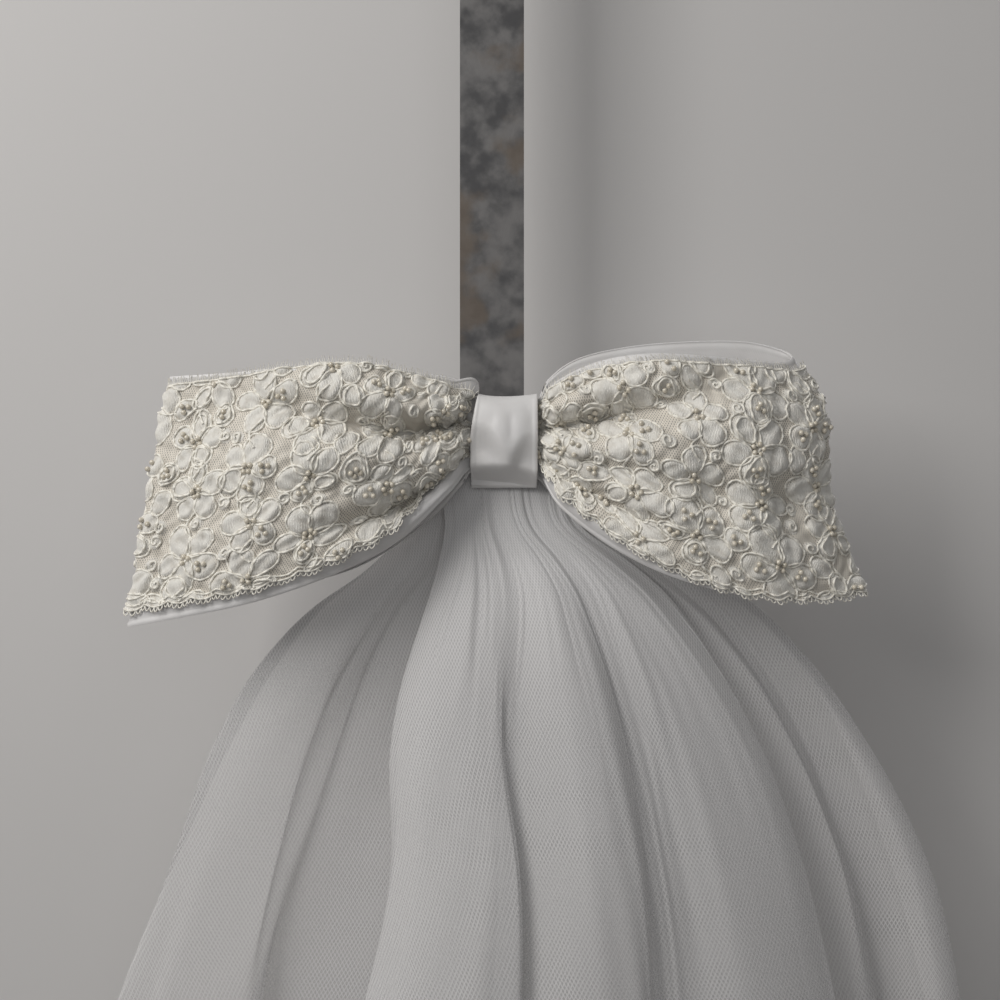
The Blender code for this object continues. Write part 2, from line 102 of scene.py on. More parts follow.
# Sections that the solids and the cloth share. Columns of a loop: reach from the knot's centre, depth,
# top edge, bottom edge, how far the edges sit behind.
LOOP_SECTIONS: dict[Side, Rows] = {
    Side.LEFT: (
        (0.15, 33.0, 13.0, -10.0, 4.0),
        (13.5, 33.2, 14.6, -10.8, 4.5),
        (22.0, 40.0, 23.5, -21.0, 3.0),
        (40.0, 49.0, 26.8, -39.5, 7.0),
        (62.0, 57.0, 29.6, -52.2, 9.0),
        (92.0, 56.0, 28.0, -63.6, 9.0),
        (120.0, 45.0, 26.4, -70.4, 5.0),
        (137.0, 36.5, 25.8, -74.0, 2.0),
        (143.0, 31.5, 25.6, -75.2, 0.5),
        (138.0, 27.2, 25.3, -73.8, 0.0),
        (118.0, 25.1, 25.0, -68.0, 0.0),
        (85.0, 25.0, 25.5, -60.0, 0.0),
        (55.0, 25.0, 27.2, -50.4, 0.0),
        (30.0, 25.3, 27.0, -32.6, 0.0),
        (17.5, 25.0, 23.6, -18.0, -1.0),
        (13.0, 24.8, 14.6, -12.0, -3.5),
        (0.15, 24.8, 13.0, -11.5, -3.5),
    ),
    Side.RIGHT: (
        (0.15, 33.0, 13.0, -10.5, 4.5),
        (13.5, 33.2, 14.6, -12.0, 5.0),
        (22.0, 41.0, 23.0, -26.8, 3.0),
        (40.0, 50.0, 30.4, -42.6, 7.0),
        (62.0, 58.0, 33.2, -54.6, 9.0),
        (90.0, 57.0, 32.4, -62.6, 9.0),
        (112.0, 48.0, 31.0, -63.8, 6.0),
        (125.0, 37.5, 31.0, -62.4, 2.0),
        (130.0, 31.5, 33.6, -61.0, 0.5),
        (125.0, 27.2, 37.2, -60.0, 0.0),
        (108.0, 25.1, 40.6, -59.0, 0.0),
        (80.0, 25.0, 40.4, -55.0, 0.0),
        (54.0, 25.0, 38.2, -46.0, 0.0),
        (32.0, 25.3, 33.4, -33.0, 0.0),
        (19.0, 25.0, 25.0, -21.0, -1.0),
        (13.0, 24.8, 14.6, -14.6, -3.5),
        (0.15, 24.8, 13.0, -13.0, -3.5),
    ),
}
# Columns: height share from the bottom edge, reach share.
OUTER_EDGE: dict[Side, Rows] = {
    Side.LEFT: ((0.0, 1.066), (0.5, 1.0), (1.0, 0.934)),
    Side.RIGHT: ((0.0, 1.13), (0.2, 1.06), (0.45, 1.0), (0.65, 1.0), (0.82, 0.975), (1.0, 0.88)),
}
# Columns: height share at the knot, height share at its end, section it ends at, depth, half-width.
# The solids have the first three of each side, less deep, and the rest are finer creases in the satin.
LOOP_VALLEYS: dict[Side, Rows] = {
    Side.LEFT: (
        (0.56, 0.95, 6.0, 18.5, 0.095),
        (0.20, 0.25, 5.0, 13.5, 0.080),
        (0.40, 0.48, 7.6, 2.6, 0.10),
        (0.80, 0.93, 4.0, 2.4, 0.035),
        (0.68, 0.70, 3.4, 1.8, 0.030),
        (0.44, 0.52, 3.7, 2.4, 0.035),
        (0.33, 0.38, 3.3, 2.0, 0.030),
        (0.09, 0.07, 3.9, 2.0, 0.030),
    ),
    Side.RIGHT: (
        (0.62, 0.95, 5.6, 18.5, 0.095),
        (0.27, 0.20, 4.8, 12.0, 0.075),
        (0.40, 0.46, 8.2, 4.0, 0.09),
        (0.86, 0.94, 4.3, 2.4, 0.035),
        (0.76, 0.78, 3.2, 1.8, 0.030),
        (0.53, 0.60, 3.8, 2.2, 0.035),
        (0.42, 0.47, 3.4, 2.2, 0.030),
        (0.13, 0.08, 3.7, 2.2, 0.030),
    ),
}
# Columns: section, height share, depth, half-length in sections, half-height.
LOOP_DENTS: dict[Side, Rows] = {
    Side.LEFT: ((6.1, 0.80, 2.5, 0.7, 0.16), (6.6, 0.30, 2.2, 0.6, 0.20)),
    Side.RIGHT: (
        (4.7, 0.38, 4.4, 0.32, 0.20),
        (5.9, 0.36, 4.6, 0.40, 0.13),
        (6.0, 0.80, 2.0, 0.5, 0.12),
    ),
}
# Columns: section, height share of the lace's lower edge, height share of its upper edge.
LACE_EDGES: dict[Side, Rows] = {
    Side.LEFT: (
        (1.0, 0.19, 0.80),
        (2.0, 0.15, 0.93),
        (3.0, 0.10, 0.985),
        (4.5, 0.060, 1.0),
        (6.0, 0.058, 0.98),
        (8.7, 0.058, 0.96),
    ),
    Side.RIGHT: (
        (1.0, 0.17, 0.96),
        (2.0, 0.14, 0.96),
        (3.0, 0.085, 0.96),
        (4.5, 0.018, 0.97),
        (6.0, 0.0, 0.97),
        (8.7, 0.0, 0.94),
    ),
}
LACE_SEED: dict[Side, int] = {Side.LEFT: 11, Side.RIGHT: 23}
# Where the loops leave the knot, in how many sections the pinch opens, and how the valleys turn and fade.
KNOT_EDGE = 13.5
PINCH_RAMP = 2.0
VALLEY_TURN = 2.4
VALLEY_FADE = 1.05
# The solids' satin wall and the gap between pieces that meet.
SATIN_WALL = 1.2
SEAM_GAP = 0.3
# The satin's width and the lace's, flat, in metres.
RIBBON_WIDTH = 0.100
# The net's threads: how far they lean, and how softly they end, in shares of a cell.
NET_LEAN = 0.58
NET_BLUR = 0.06


def eased(value: Array) -> Array:
    """An ease from 0 to 1 as each value goes from 0 to 1."""
    value = np.clip(value, 0.0, 1.0)
    return value * value * (3.0 - 2.0 * value)


def curve(keys: Array, values: Array, at: Array) -> Array:
    """Reads a smooth curve through values at their keys.

    Args:
        keys: Rising places along the curve.
        values: The value at each key.
        at: The places to read.

    Returns:
        The curve's value at each place.
    """
    keys = np.asarray(keys, float)
    values = np.asarray(values, float)
    slopes = np.gradient(values, keys)
    i = np.clip(np.searchsorted(keys, at) - 1, 0, len(keys) - 2)
    span = keys[i + 1] - keys[i]
    f = np.clip((at - keys[i]) / span, 0.0, 1.0)
    rest = 1.0 - f
    ends = rest * rest * (1 + 2 * f) * values[i] + f * f * (3 - 2 * f) * values[i + 1]
    return ends + span * f * rest * (rest * slopes[i] - f * slopes[i + 1])


def column(rows: Rows, index: int) -> Array:
    """One column of a table."""
    return np.array([row[index] for row in rows])


def unit(vectors: Array) -> Array:
    """Vectors brought to length 1."""
    return vectors / np.maximum(np.linalg.norm(vectors, axis=-1, keepdims=True), 1e-9)


def path_length(points: Array) -> Array:
    """The length along a path up to each of its points."""
    steps = np.linalg.norm(np.diff(points, axis=0), axis=1)
    return np.concatenate(([0.0], np.cumsum(steps)))


@dataclass(frozen=True)
class ClothSpace:
    """Where the cloth's own millimetres lie in the frame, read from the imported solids."""

    knot_across: float
    strap_front: float
    knot_height: float

    @classmethod
    def from_frame(cls) -> "ClothSpace":
        """Reads the knot's centre and the strap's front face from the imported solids.

        Returns:
            The cloth's space.
        """
        low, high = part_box("bow_knot")
        _, hanger_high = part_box("hanger")
        return cls((low[0] + high[0]) / 2, -hanger_high[1], (low[2] + high[2]) / 2)

    def metres(self, points: Array) -> Array:
        """Turns cloth points (across, depth, height) in millimetres into the frame's (x, y, z) in metres."""
        return np.array((self.knot_across, self.strap_front, self.knot_height)) + points * TO_FRAME * MM


@dataclass
class MeshParts:
    """Vertices, faces and a cloth map that grow piece by piece into one mesh."""

    points: list[Array] = field(default_factory=list)
    faces: list[Array] = field(default_factory=list)
    map: list[Array] = field(default_factory=list)
    count: int = 0

    def add(self, points: Array, faces: Array, cloth_map: Array) -> None:
        """Adds one piece.

        Args:
            points: Vertices in metres.
            faces: Vertex numbers of each face, from 0.
            cloth_map: A map point for each vertex.
        """
        self.points.append(points)
        self.faces.append(faces + self.count)
        self.map.append(cloth_map)
        self.count += len(points)

    def build(self, name: str, masks: dict[str, Array] | None = None) -> bpy.types.Object:
        """Makes the mesh object.

        Args:
            name: The piece's name.
            masks: Named values for each vertex.

        Returns:
            The new object, at the origin.
        """
        points = np.concatenate(self.points)
        faces = [face.tolist() for face in self.faces]
        mesh = bpy.data.meshes.new(name)
        mesh.from_pydata(points.tolist(), [], [face for group in faces for face in group])
        corner = np.zeros(len(mesh.loops), np.int32)
        mesh.loops.foreach_get("vertex_index", corner)
        layer = mesh.uv_layers.new(name="cloth")
        layer.data.foreach_set("uv", np.concatenate(self.map)[corner].astype(np.float32).ravel())
        for mask, values in (masks or {}).items():
            mesh.attributes.new(mask, "FLOAT", "POINT").data.foreach_set("value", values.ravel())
        mesh.validate()
        mesh.shade_smooth()
        piece = bpy.data.objects.new(name, mesh)
        bpy.context.scene.collection.objects.link(piece)
        return piece


def grid_faces(rows: int, columns: int, turned: bool = False) -> Array:
    """Four-sided faces of a grid of points.

    Args:
        rows: How many points one way.
        columns: How many points the other way.
        turned: Whether the faces look the other way.

    Returns:
        The vertex numbers of each face.
    """
    number = np.arange(rows * columns).reshape(rows, columns)
    a, b = number[:-1, :-1].ravel(), number[1:, :-1].ravel()
    c, d = number[1:, 1:].ravel(), number[:-1, 1:].ravel()
    return np.stack((a, d, c, b) if turned else (a, b, c, d), axis=1)


def tube(path: Array, normals: Array, radius: float, sides: int, closed: bool) -> tuple[Array, Array, Array]:
    """A cord laid along a path on a surface.

    Args:
        path: Points of the cord's middle, in metres.
        normals: The surface's normal at each point.
        radius: The cord's radius in metres.
        sides: How many sides the cord has.
        closed: Whether the last point joins the first.

    Returns:
        Vertices, faces and a map that runs along and round the cord.
    """
    if closed:
        forward = np.roll(path, -1, axis=0) - np.roll(path, 1, axis=0)
    else:
        forward = np.gradient(path, axis=0)
    forward = unit(forward)
    across = unit(np.cross(forward, normals))
    up = np.cross(across, forward)
    angles = np.linspace(0.0, 2 * math.pi, sides, endpoint=False)
    ring = radius * (
        across[:, None] * np.cos(angles)[None, :, None] + up[:, None] * np.sin(angles)[None, :, None]
    )
    points = path[:, None] + ring
    n = len(path)
    along = np.repeat(path_length(path)[:, None], sides, axis=1)
    around = np.repeat((np.arange(sides) / sides)[None, :], n, axis=0)
    i = np.arange(n if closed else n - 1)
    faces = []
    for j in range(sides):
        k = (j + 1) % sides
        nxt = (i + 1) % n
        faces.append(np.stack((i * sides + j, i * sides + k, nxt * sides + k, nxt * sides + j), axis=1))
    cloth_map = np.stack((along, around * radius * 2 * math.pi), axis=-1)
    return points.reshape(-1, 3), np.concatenate(faces), cloth_map.reshape(-1, 2)


class Shader:
    """A material's node tree, with short ways to add and join its nodes."""

    def __init__(self, tree: bpy.types.NodeTree) -> None:
        """Keeps the node tree."""
        self.tree = tree

    def node(self, kind: str, **settings: object) -> bpy.types.Node:
        """Adds a node.

        Args:
            kind: The node's type.
            settings: Its properties.

        Returns:
            The new node.
        """
        made = self.tree.nodes.new(kind)
        for key, value in settings.items():
            setattr(made, key, value)
        return made

    def give(self, value: object, target: bpy.types.NodeSocket) -> None:
        """Joins a socket to an input, or sets the input to a number or a colour.

        Args:
            value: A socket, a number or a colour.
            target: The input.
        """
        if isinstance(value, bpy.types.NodeSocket):
            self.tree.links.new(value, target)
        else:
            target.default_value = (*value, 1.0) if isinstance(value, tuple) else value

    def fed(self, kind: str, inputs: dict[object, object], **settings: object) -> bpy.types.Node:
        """Adds a node and gives it its inputs.

        Args:
            kind: The node's type.
            inputs: The value of each input, by its name or number.
            settings: The node's properties.

        Returns:
            The new node.
        """
        made = self.node(kind, **settings)
        for key, value in inputs.items():
            self.give(value, made.inputs[key])
        return made

    def math(self, operation: str, *inputs: object, clamp: bool = False) -> bpy.types.NodeSocket:
        """Adds a Math node.

        Args:
            operation: The node's operation.
            inputs: Numbers or sockets.
            clamp: Whether the result is held between 0 and 1.

        Returns:
            The result's socket.
        """
        given = dict(enumerate(inputs))
        return self.fed("ShaderNodeMath", given, operation=operation, use_clamp=clamp).outputs[0]

    def mix(self, share: object, first: object, second: object) -> bpy.types.NodeSocket:
        """Mixes two colours by a share.

        Args:
            share: A number or socket.
            first: A colour or socket, where the share is 0.
            second: A colour or socket, where the share is 1.

        Returns:
            The mixed colour's socket.
        """
        return self.fed("ShaderNodeMix", {0: share, 6: first, 7: second}, data_type="RGBA").outputs[2]

    def spread(
        self, value: bpy.types.NodeSocket, low: float, high: float, to: tuple[float, float] = (0.0, 1.0)
    ) -> bpy.types.NodeSocket:
        """Maps a value from one range to another, held at its ends.

        Args:
            value: The value's socket.
            low: The start of its range.
            high: The end of its range.
            to: The new range.

        Returns:
            The mapped value's socket.
        """
        given = {"Value": value, "From Min": low, "From Max": high, "To Min": to[0], "To Max": to[1]}
        made = self.fed("ShaderNodeMapRange", given, clamp=True, interpolation_type="SMOOTHSTEP")
        return made.outputs["Result"]

    def noise(self, where: bpy.types.NodeSocket, scale: float, detail: float = 3.0) -> bpy.types.NodeSocket:
        """Adds a noise pattern.

        Args:
            where: The place's socket.
            scale: Its patches in a metre.
            detail: How many finer layers it has.

        Returns:
            The pattern's socket.
        """
        made = self.fed("ShaderNodeTexNoise", {"Scale": scale, "Detail": detail, "Vector": where})
        return made.outputs["Fac"]

    def bands(self, where: bpy.types.NodeSocket, direction: str, **inputs: float) -> bpy.types.NodeSocket:
        """Adds a pattern of bands.

        Args:
            where: The place's socket.
            direction: Which way the bands run.
            inputs: The node's other inputs, with _ for each space in a name.

        Returns:
            The pattern's socket.
        """
        given = {key.replace("_", " "): value for key, value in inputs.items()}
        given["Vector"] = where
        made = self.fed("ShaderNodeTexWave", given, wave_type="BANDS", bands_direction=direction)
        return made.outputs["Fac"]

    def bump(self, height: bpy.types.NodeSocket, strength: float, distance: float) -> bpy.types.NodeSocket:
        """Adds a Bump node.

        Args:
            height: The height's socket.
            strength: How strong the bump is.
            distance: Its height in metres.

        Returns:
            The normal's socket.
        """
        given = {"Strength": strength, "Distance": distance, "Height": height}
        return self.fed("ShaderNodeBump", given).outputs["Normal"]

    def place(self) -> bpy.types.NodeSocket:
        """Each point's place in the object's own space."""
        return self.node("ShaderNodeTexCoord").outputs["Object"]

    def cloth(self) -> bpy.types.NodeSocket:
        """Each point's place on the flat cloth, in metres."""
        return self.node("ShaderNodeUVMap", uv_map="cloth").outputs["UV"]

    def net(self, cells: float, gap: float) -> bpy.types.NodeSocket:
        """Adds the net's threads on the flat cloth.

        Args:
            cells: How many cells there are in a metre.
            gap: Half a cell's open share.

        Returns:
            The threads' socket, 1 on a thread and 0 in a gap.
        """
        given = {"Vector": self.cloth(), "Cells per metre": cells, "Gap": gap}
        return self.fed("ShaderNodeGroup", given, node_tree=net_group()).outputs["Thread"]


def net_group() -> bpy.types.NodeTree:
    """The node group for a net of crossing threads, built once and used by each net cloth.

    Returns:
        A group with inputs Vector, Cells per metre and Gap, and the output Thread.
    """
    found = bpy.data.node_groups.get("net threads")
    if found:
        return found
    tree = bpy.data.node_groups.new("net threads", "ShaderNodeTree")
    for name, way, kind in (
        ("Vector", "INPUT", "NodeSocketVector"),
        ("Cells per metre", "INPUT", "NodeSocketFloat"),
        ("Gap", "INPUT", "NodeSocketFloat"),
        ("Thread", "OUTPUT", "NodeSocketFloat"),
    ):
        tree.interface.new_socket(name, in_out=way, socket_type=kind)
    shader = Shader(tree)
    given = shader.node("NodeGroupInput").outputs
    parts = shader.fed("ShaderNodeSeparateXYZ", {0: given["Vector"]}).outputs
    threads = []
    for lean in (NET_LEAN, -NET_LEAN):
        slanted = shader.math("MULTIPLY_ADD", parts["Y"], lean, parts["X"])
        cell = shader.math("FRACT", shader.math("MULTIPLY", slanted, given["Cells per metre"]))
        from_middle = shader.math("ABSOLUTE", shader.math("SUBTRACT", cell, 0.5))
        threads.append(shader.math("SUBTRACT", from_middle, given["Gap"]))
    nearest = shader.math("MAXIMUM", *threads)
    result = shader.node("NodeGroupOutput")
    shader.give(shader.spread(nearest, -NET_BLUR, NET_BLUR), result.inputs["Thread"])
    return tree


@dataclass(frozen=True)
class Finish:
    """A finish that is built as one material."""

    name: str
    colour: Colour

    def build(self) -> bpy.types.Material:
        """Builds the material.

        Returns:
            The new material.
        """
        material = bpy.data.materials.new(self.name)
        material.use_nodes = True
        shader = Shader(material.node_tree)
        surface = material.node_tree.nodes["Principled BSDF"]
        for key, value in self.paint(shader).items():
            shader.give(value, surface.inputs[key])
        return material

    def paint(self, shader: Shader) -> dict[str, object]:
        """The surface's inputs, each a number, a colour or a socket."""
        return {"Base Color": self.colour}


@dataclass(frozen=True)
class Satin(Finish):
    """White bridal satin: a soft sheen over a fine weave."""

    name: str = "white_satin"
    colour: Colour = (0.72, 0.705, 0.695)
    shade: Colour = (0.67, 0.65, 0.635)
    roughness: float = 0.40
    weave: float = 812.5

    def paint(self, shader: Shader) -> dict[str, object]:
        """Mottles the white a little, and lays the weave and soft ripples on it.

        Args:
            shader: The material's node tree.

        Returns:
            The surface's inputs.
        """
        place = shader.place()
        ripple = shader.noise(place, 150.0, 4.0)
        weave = shader.bands(shader.cloth(), "DIAGONAL", Scale=self.weave, Distortion=0.6)
        soft = shader.spread(shader.noise(place, 34.0), 0.35, 0.65)
        return {
            "Base Color": shader.mix(soft, self.colour, self.shade),
            "Normal": shader.bump(shader.math("MULTIPLY_ADD", weave, 0.12, ripple), 0.22, 0.0012),
            "Roughness": shader.spread(ripple, 0.3, 0.7, (self.roughness - 0.05, self.roughness + 0.07)),
            "Sheen Weight": 0.25,
            "Sheen Roughness": 0.35,
        }


@dataclass(frozen=True)
class LaceNet(Finish):
    """Ivory lace: a fine net ground, closed where a motif fills it."""

    name: str = "ivory_lace"
    # The ground's colour, darker and warmer than the motifs', is partly the net's own ivory and partly
    # painted shade in the hollows between the raised motifs.
    colour: Colour = (0.75, 0.695, 0.605)
    motif: Colour = (0.89, 0.86, 0.795)
    darkening: float = 0.86
    cells_per_metre: float = 950.0
    gap: float = 0.22
    thread: float = 0.96
    film: float = 0.35

    def paint(self, shader: Shader) -> dict[str, object]:
        """Closes the net under each motif, and stitches the motif.

        Args:
            shader: The material's node tree.

        Returns:
            The surface's inputs.
        """
        cloth = shader.cloth()
        motif = shader.node("ShaderNodeAttribute", attribute_name="motif").outputs["Fac"]
        mottle = shader.noise(cloth, 260.0, 4.0)
        # The ground's tone carries painted shade between the motifs as well as the net's own ivory.
        tone = shader.mix(motif, self.colour, self.motif)
        darker = tuple(value * self.darkening for value in self.colour)
        net = shader.math("MULTIPLY", shader.net(self.cells_per_metre, self.gap), self.thread)
        filled = shader.math("MAXIMUM", net, motif)
        stitches = shader.bands(cloth, "X", Scale=520.0, Distortion=5.0, Detail_Scale=2.5)
        stitched = shader.math("MULTIPLY", stitches, motif)
        return {
            "Base Color": shader.mix(shader.spread(mottle, 0.42, 0.7, (0.0, 0.6)), tone, darker),
            "Alpha": shader.math("MAXIMUM", filled, self.film, clamp=True),
            "Normal": shader.bump(shader.math("MULTIPLY_ADD", mottle, 1.2, stitched), 0.5, 0.0006),
            "Roughness": 0.62,
            "Sheen Weight": 0.2,
        }


@dataclass(frozen=True)
class TwistedCord(Finish):
    """The cord that outlines the motifs: two strands twisted together."""

    name: str = "twisted_cord"
    colour: Colour = (0.91, 0.875, 0.79)
    # This colour is painted shade where the two twisted strands meet.
    groove_shade: Colour = (0.60, 0.55, 0.46)
    twist: float = 193.75

    def paint(self, shader: Shader) -> dict[str, object]:
        """Winds a darker twist along the cord: painted shade where the two strands meet, which the bump also
        dents in.

        Args:
            shader: The material's node tree.

        Returns:
            The surface's inputs.
        """
        twist = shader.bands(shader.cloth(), "DIAGONAL", Scale=self.twist)
        return {
            "Base Color": shader.mix(shader.spread(twist, 0.0, 0.4, (0.55, 0.0)), self.colour, self.groove_shade),
            "Normal": shader.bump(twist, 0.6, 0.0003),
            "Roughness": 0.5,
            "Sheen Weight": 0.15,
        }


@dataclass(frozen=True)
class Pearl(Finish):
    """Ivory seed pearls: a smooth coat over a warm, slightly cloudy body."""

    name: str = "seed_pearl"
    colour: Colour = (0.62, 0.56, 0.45)
    cloud: Colour = (0.72, 0.66, 0.55)

    def paint(self, shader: Shader) -> dict[str, object]:
        """Clouds the body under its coat.

        Args:
            shader: The material's node tree.

        Returns:
            The surface's inputs.
        """
        cloudy = shader.spread(shader.noise(shader.place(), 420.0), 0.4, 0.6)
        return {
            "Base Color": shader.mix(cloudy, self.colour, self.cloud),
            "Roughness": 0.22,
            "Coat Weight": 1.0,
            "Coat Roughness": 0.08,
        }


@dataclass(frozen=True)
class Tulle(Finish):
    """Fine white bridal net, see-through between its threads."""

    colour: Colour = (0.765, 0.75, 0.745)
    darkening: float = 0.93
    cells_per_metre: float = 600.0
    gap: float = 0.38
    film: float = 0.29
    thread: float = 0.58
    # The gathers lay the net over itself: how much of its gaps that fills, from and to how far down.
    bunched: float = 0.70
    bunched_from: float = 0.02
    bunched_to: float = 0.15

    def paint(self, shader: Shader) -> dict[str, object]:
        """Leaves the gaps between the threads nearly clear, but less so in the gathers.

        Args:
            shader: The material's node tree.

        Returns:
            The surface's inputs.
        """
        net = shader.net(self.cells_per_metre, self.gap)
        alpha = shader.math("MULTIPLY_ADD", net, self.thread - self.film, self.film)
        down = shader.fed("ShaderNodeSeparateXYZ", {0: shader.cloth()}).outputs["Y"]
        bunched = shader.spread(down, self.bunched_from, self.bunched_to, (self.bunched, 0.0))
        clear = shader.math("SUBTRACT", 1.0, alpha)
        darker = tuple(value * self.darkening for value in self.colour)
        return {
            "Alpha": shader.math("MULTIPLY_ADD", clear, bunched, alpha, clamp=True),
            "Base Color": shader.mix(net, darker, self.colour),
            "Roughness": 0.6,
            "Sheen Weight": 0.3,
        }


@dataclass(frozen=True)
class Galvanised(Finish):
    """Worn zinc on steel: grey crystals, cloudy darker patches and a few brown stains."""

    name: str = "galvanised_strap"
    colour: Colour = (0.185, 0.178, 0.174)
    dark: Colour = (0.075, 0.073, 0.074)
    stain: Colour = (0.145, 0.115, 0.09)

    def paint(self, shader: Shader) -> dict[str, object]:
        """Lays crystals, clouds and stains over each other.

        Args:
            shader: The material's node tree.

        Returns:
            The surface's inputs.
        """
        place = shader.place()
        crystals = shader.fed("ShaderNodeTexVoronoi", {"Scale": 260.0, "Vector": place}, feature="SMOOTH_F1")
        grain = shader.fed("ShaderNodeSeparateColor", {0: crystals.outputs["Color"]}).outputs[0]
        clouds = shader.noise(place, 95.0, 9.0)
        patchy = shader.math("MULTIPLY_ADD", grain, 0.10, clouds)
        tone = shader.mix(shader.spread(patchy, 0.36, 0.74), self.dark, self.colour)
        stains = shader.spread(shader.noise(place, 38.0, 5.0), 0.52, 0.66, (0.0, 0.75))
        return {
            "Base Color": shader.mix(stains, tone, self.stain),
            "Roughness": shader.spread(clouds, 0.3, 0.7, (0.38, 0.58)),
            "Normal": shader.bump(shader.noise(place, 420.0, 5.0), 0.18, 0.0004),
            "Metallic": 0.55,
        }


@dataclass(frozen=True)
class CombPlastic(Finish):
    """Clear-white moulded plastic with faint flow marks."""

    name: str = "comb_plastic"
    colour: Colour = (0.80, 0.80, 0.78)
    darkening: float = 0.92

    def paint(self, shader: Shader) -> dict[str, object]:
        """Marks the plastic's flow.

        Args:
            shader: The material's node tree.

        Returns:
            The surface's inputs.
        """
        flow = shader.noise(shader.place(), 90.0)
        darker = tuple(value * self.darkening for value in self.colour)
        return {
            "Base Color": shader.mix(shader.spread(flow, 0.35, 0.65), self.colour, darker),
            "Normal": shader.bump(flow, 0.08, 0.0005),
            "Roughness": 0.3,
        }


@dataclass(frozen=True)
class Finishes:
    """Every finished material, built once."""

    satin: bpy.types.Material
    lace: bpy.types.Material
    cord: bpy.types.Material
    pearl: bpy.types.Material
    front_tulle: bpy.types.Material
    shaded_back_tulle: bpy.types.Material
    metal: bpy.types.Material
    comb: bpy.types.Material

    @classmethod
    def build(cls) -> "Finishes":
        """Builds all the materials.

        Returns:
            The finishes.
        """
        # The back tier is the front tier's tulle with a darker colour: painted shade from the bow and the
        # front tier over it.
        shaded_back_tulle = Tulle("shaded_back_tulle", colour=(0.705, 0.69, 0.685), film=0.21, thread=0.54)
        soft = (Satin(), LaceNet(), TwistedCord(), Pearl(), Tulle("front_tulle"), shaded_back_tulle)
        return cls(*(finish.build() for finish in (*soft, Galvanised(), CombPlastic())))


def dress(piece: bpy.types.Object, material: bpy.types.Material, slot: str, *nodes: str) -> None:
    """Gives a piece its material and its body, and hides the solids that it stands for.

    Args:
        piece: The new piece.
        material: Its finish.
        slot: The record's material slot; it is not used.
        nodes: The solids that it stands for.
    """
    piece.data.materials.append(material)
    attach(piece, BODY)
    if nodes:
        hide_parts(*nodes)
    log.info("%s: %d faces", piece.name, len(piece.data.polygons))


def thicken(piece: bpy.types.Object, wall: float) -> None:
    """Gives a sheet its wall in millimetres, half on each side."""
    solidify = piece.modifiers.new("wall", "SOLIDIFY")
    solidify.thickness, solidify.offset = wall * MM, 0.0


@dataclass(frozen=True)
class Petal:
    """One petal of a lace flower, as a place, a turn and a size on the flat lace."""

    along: float
    up: float
    turn: float
    size: float


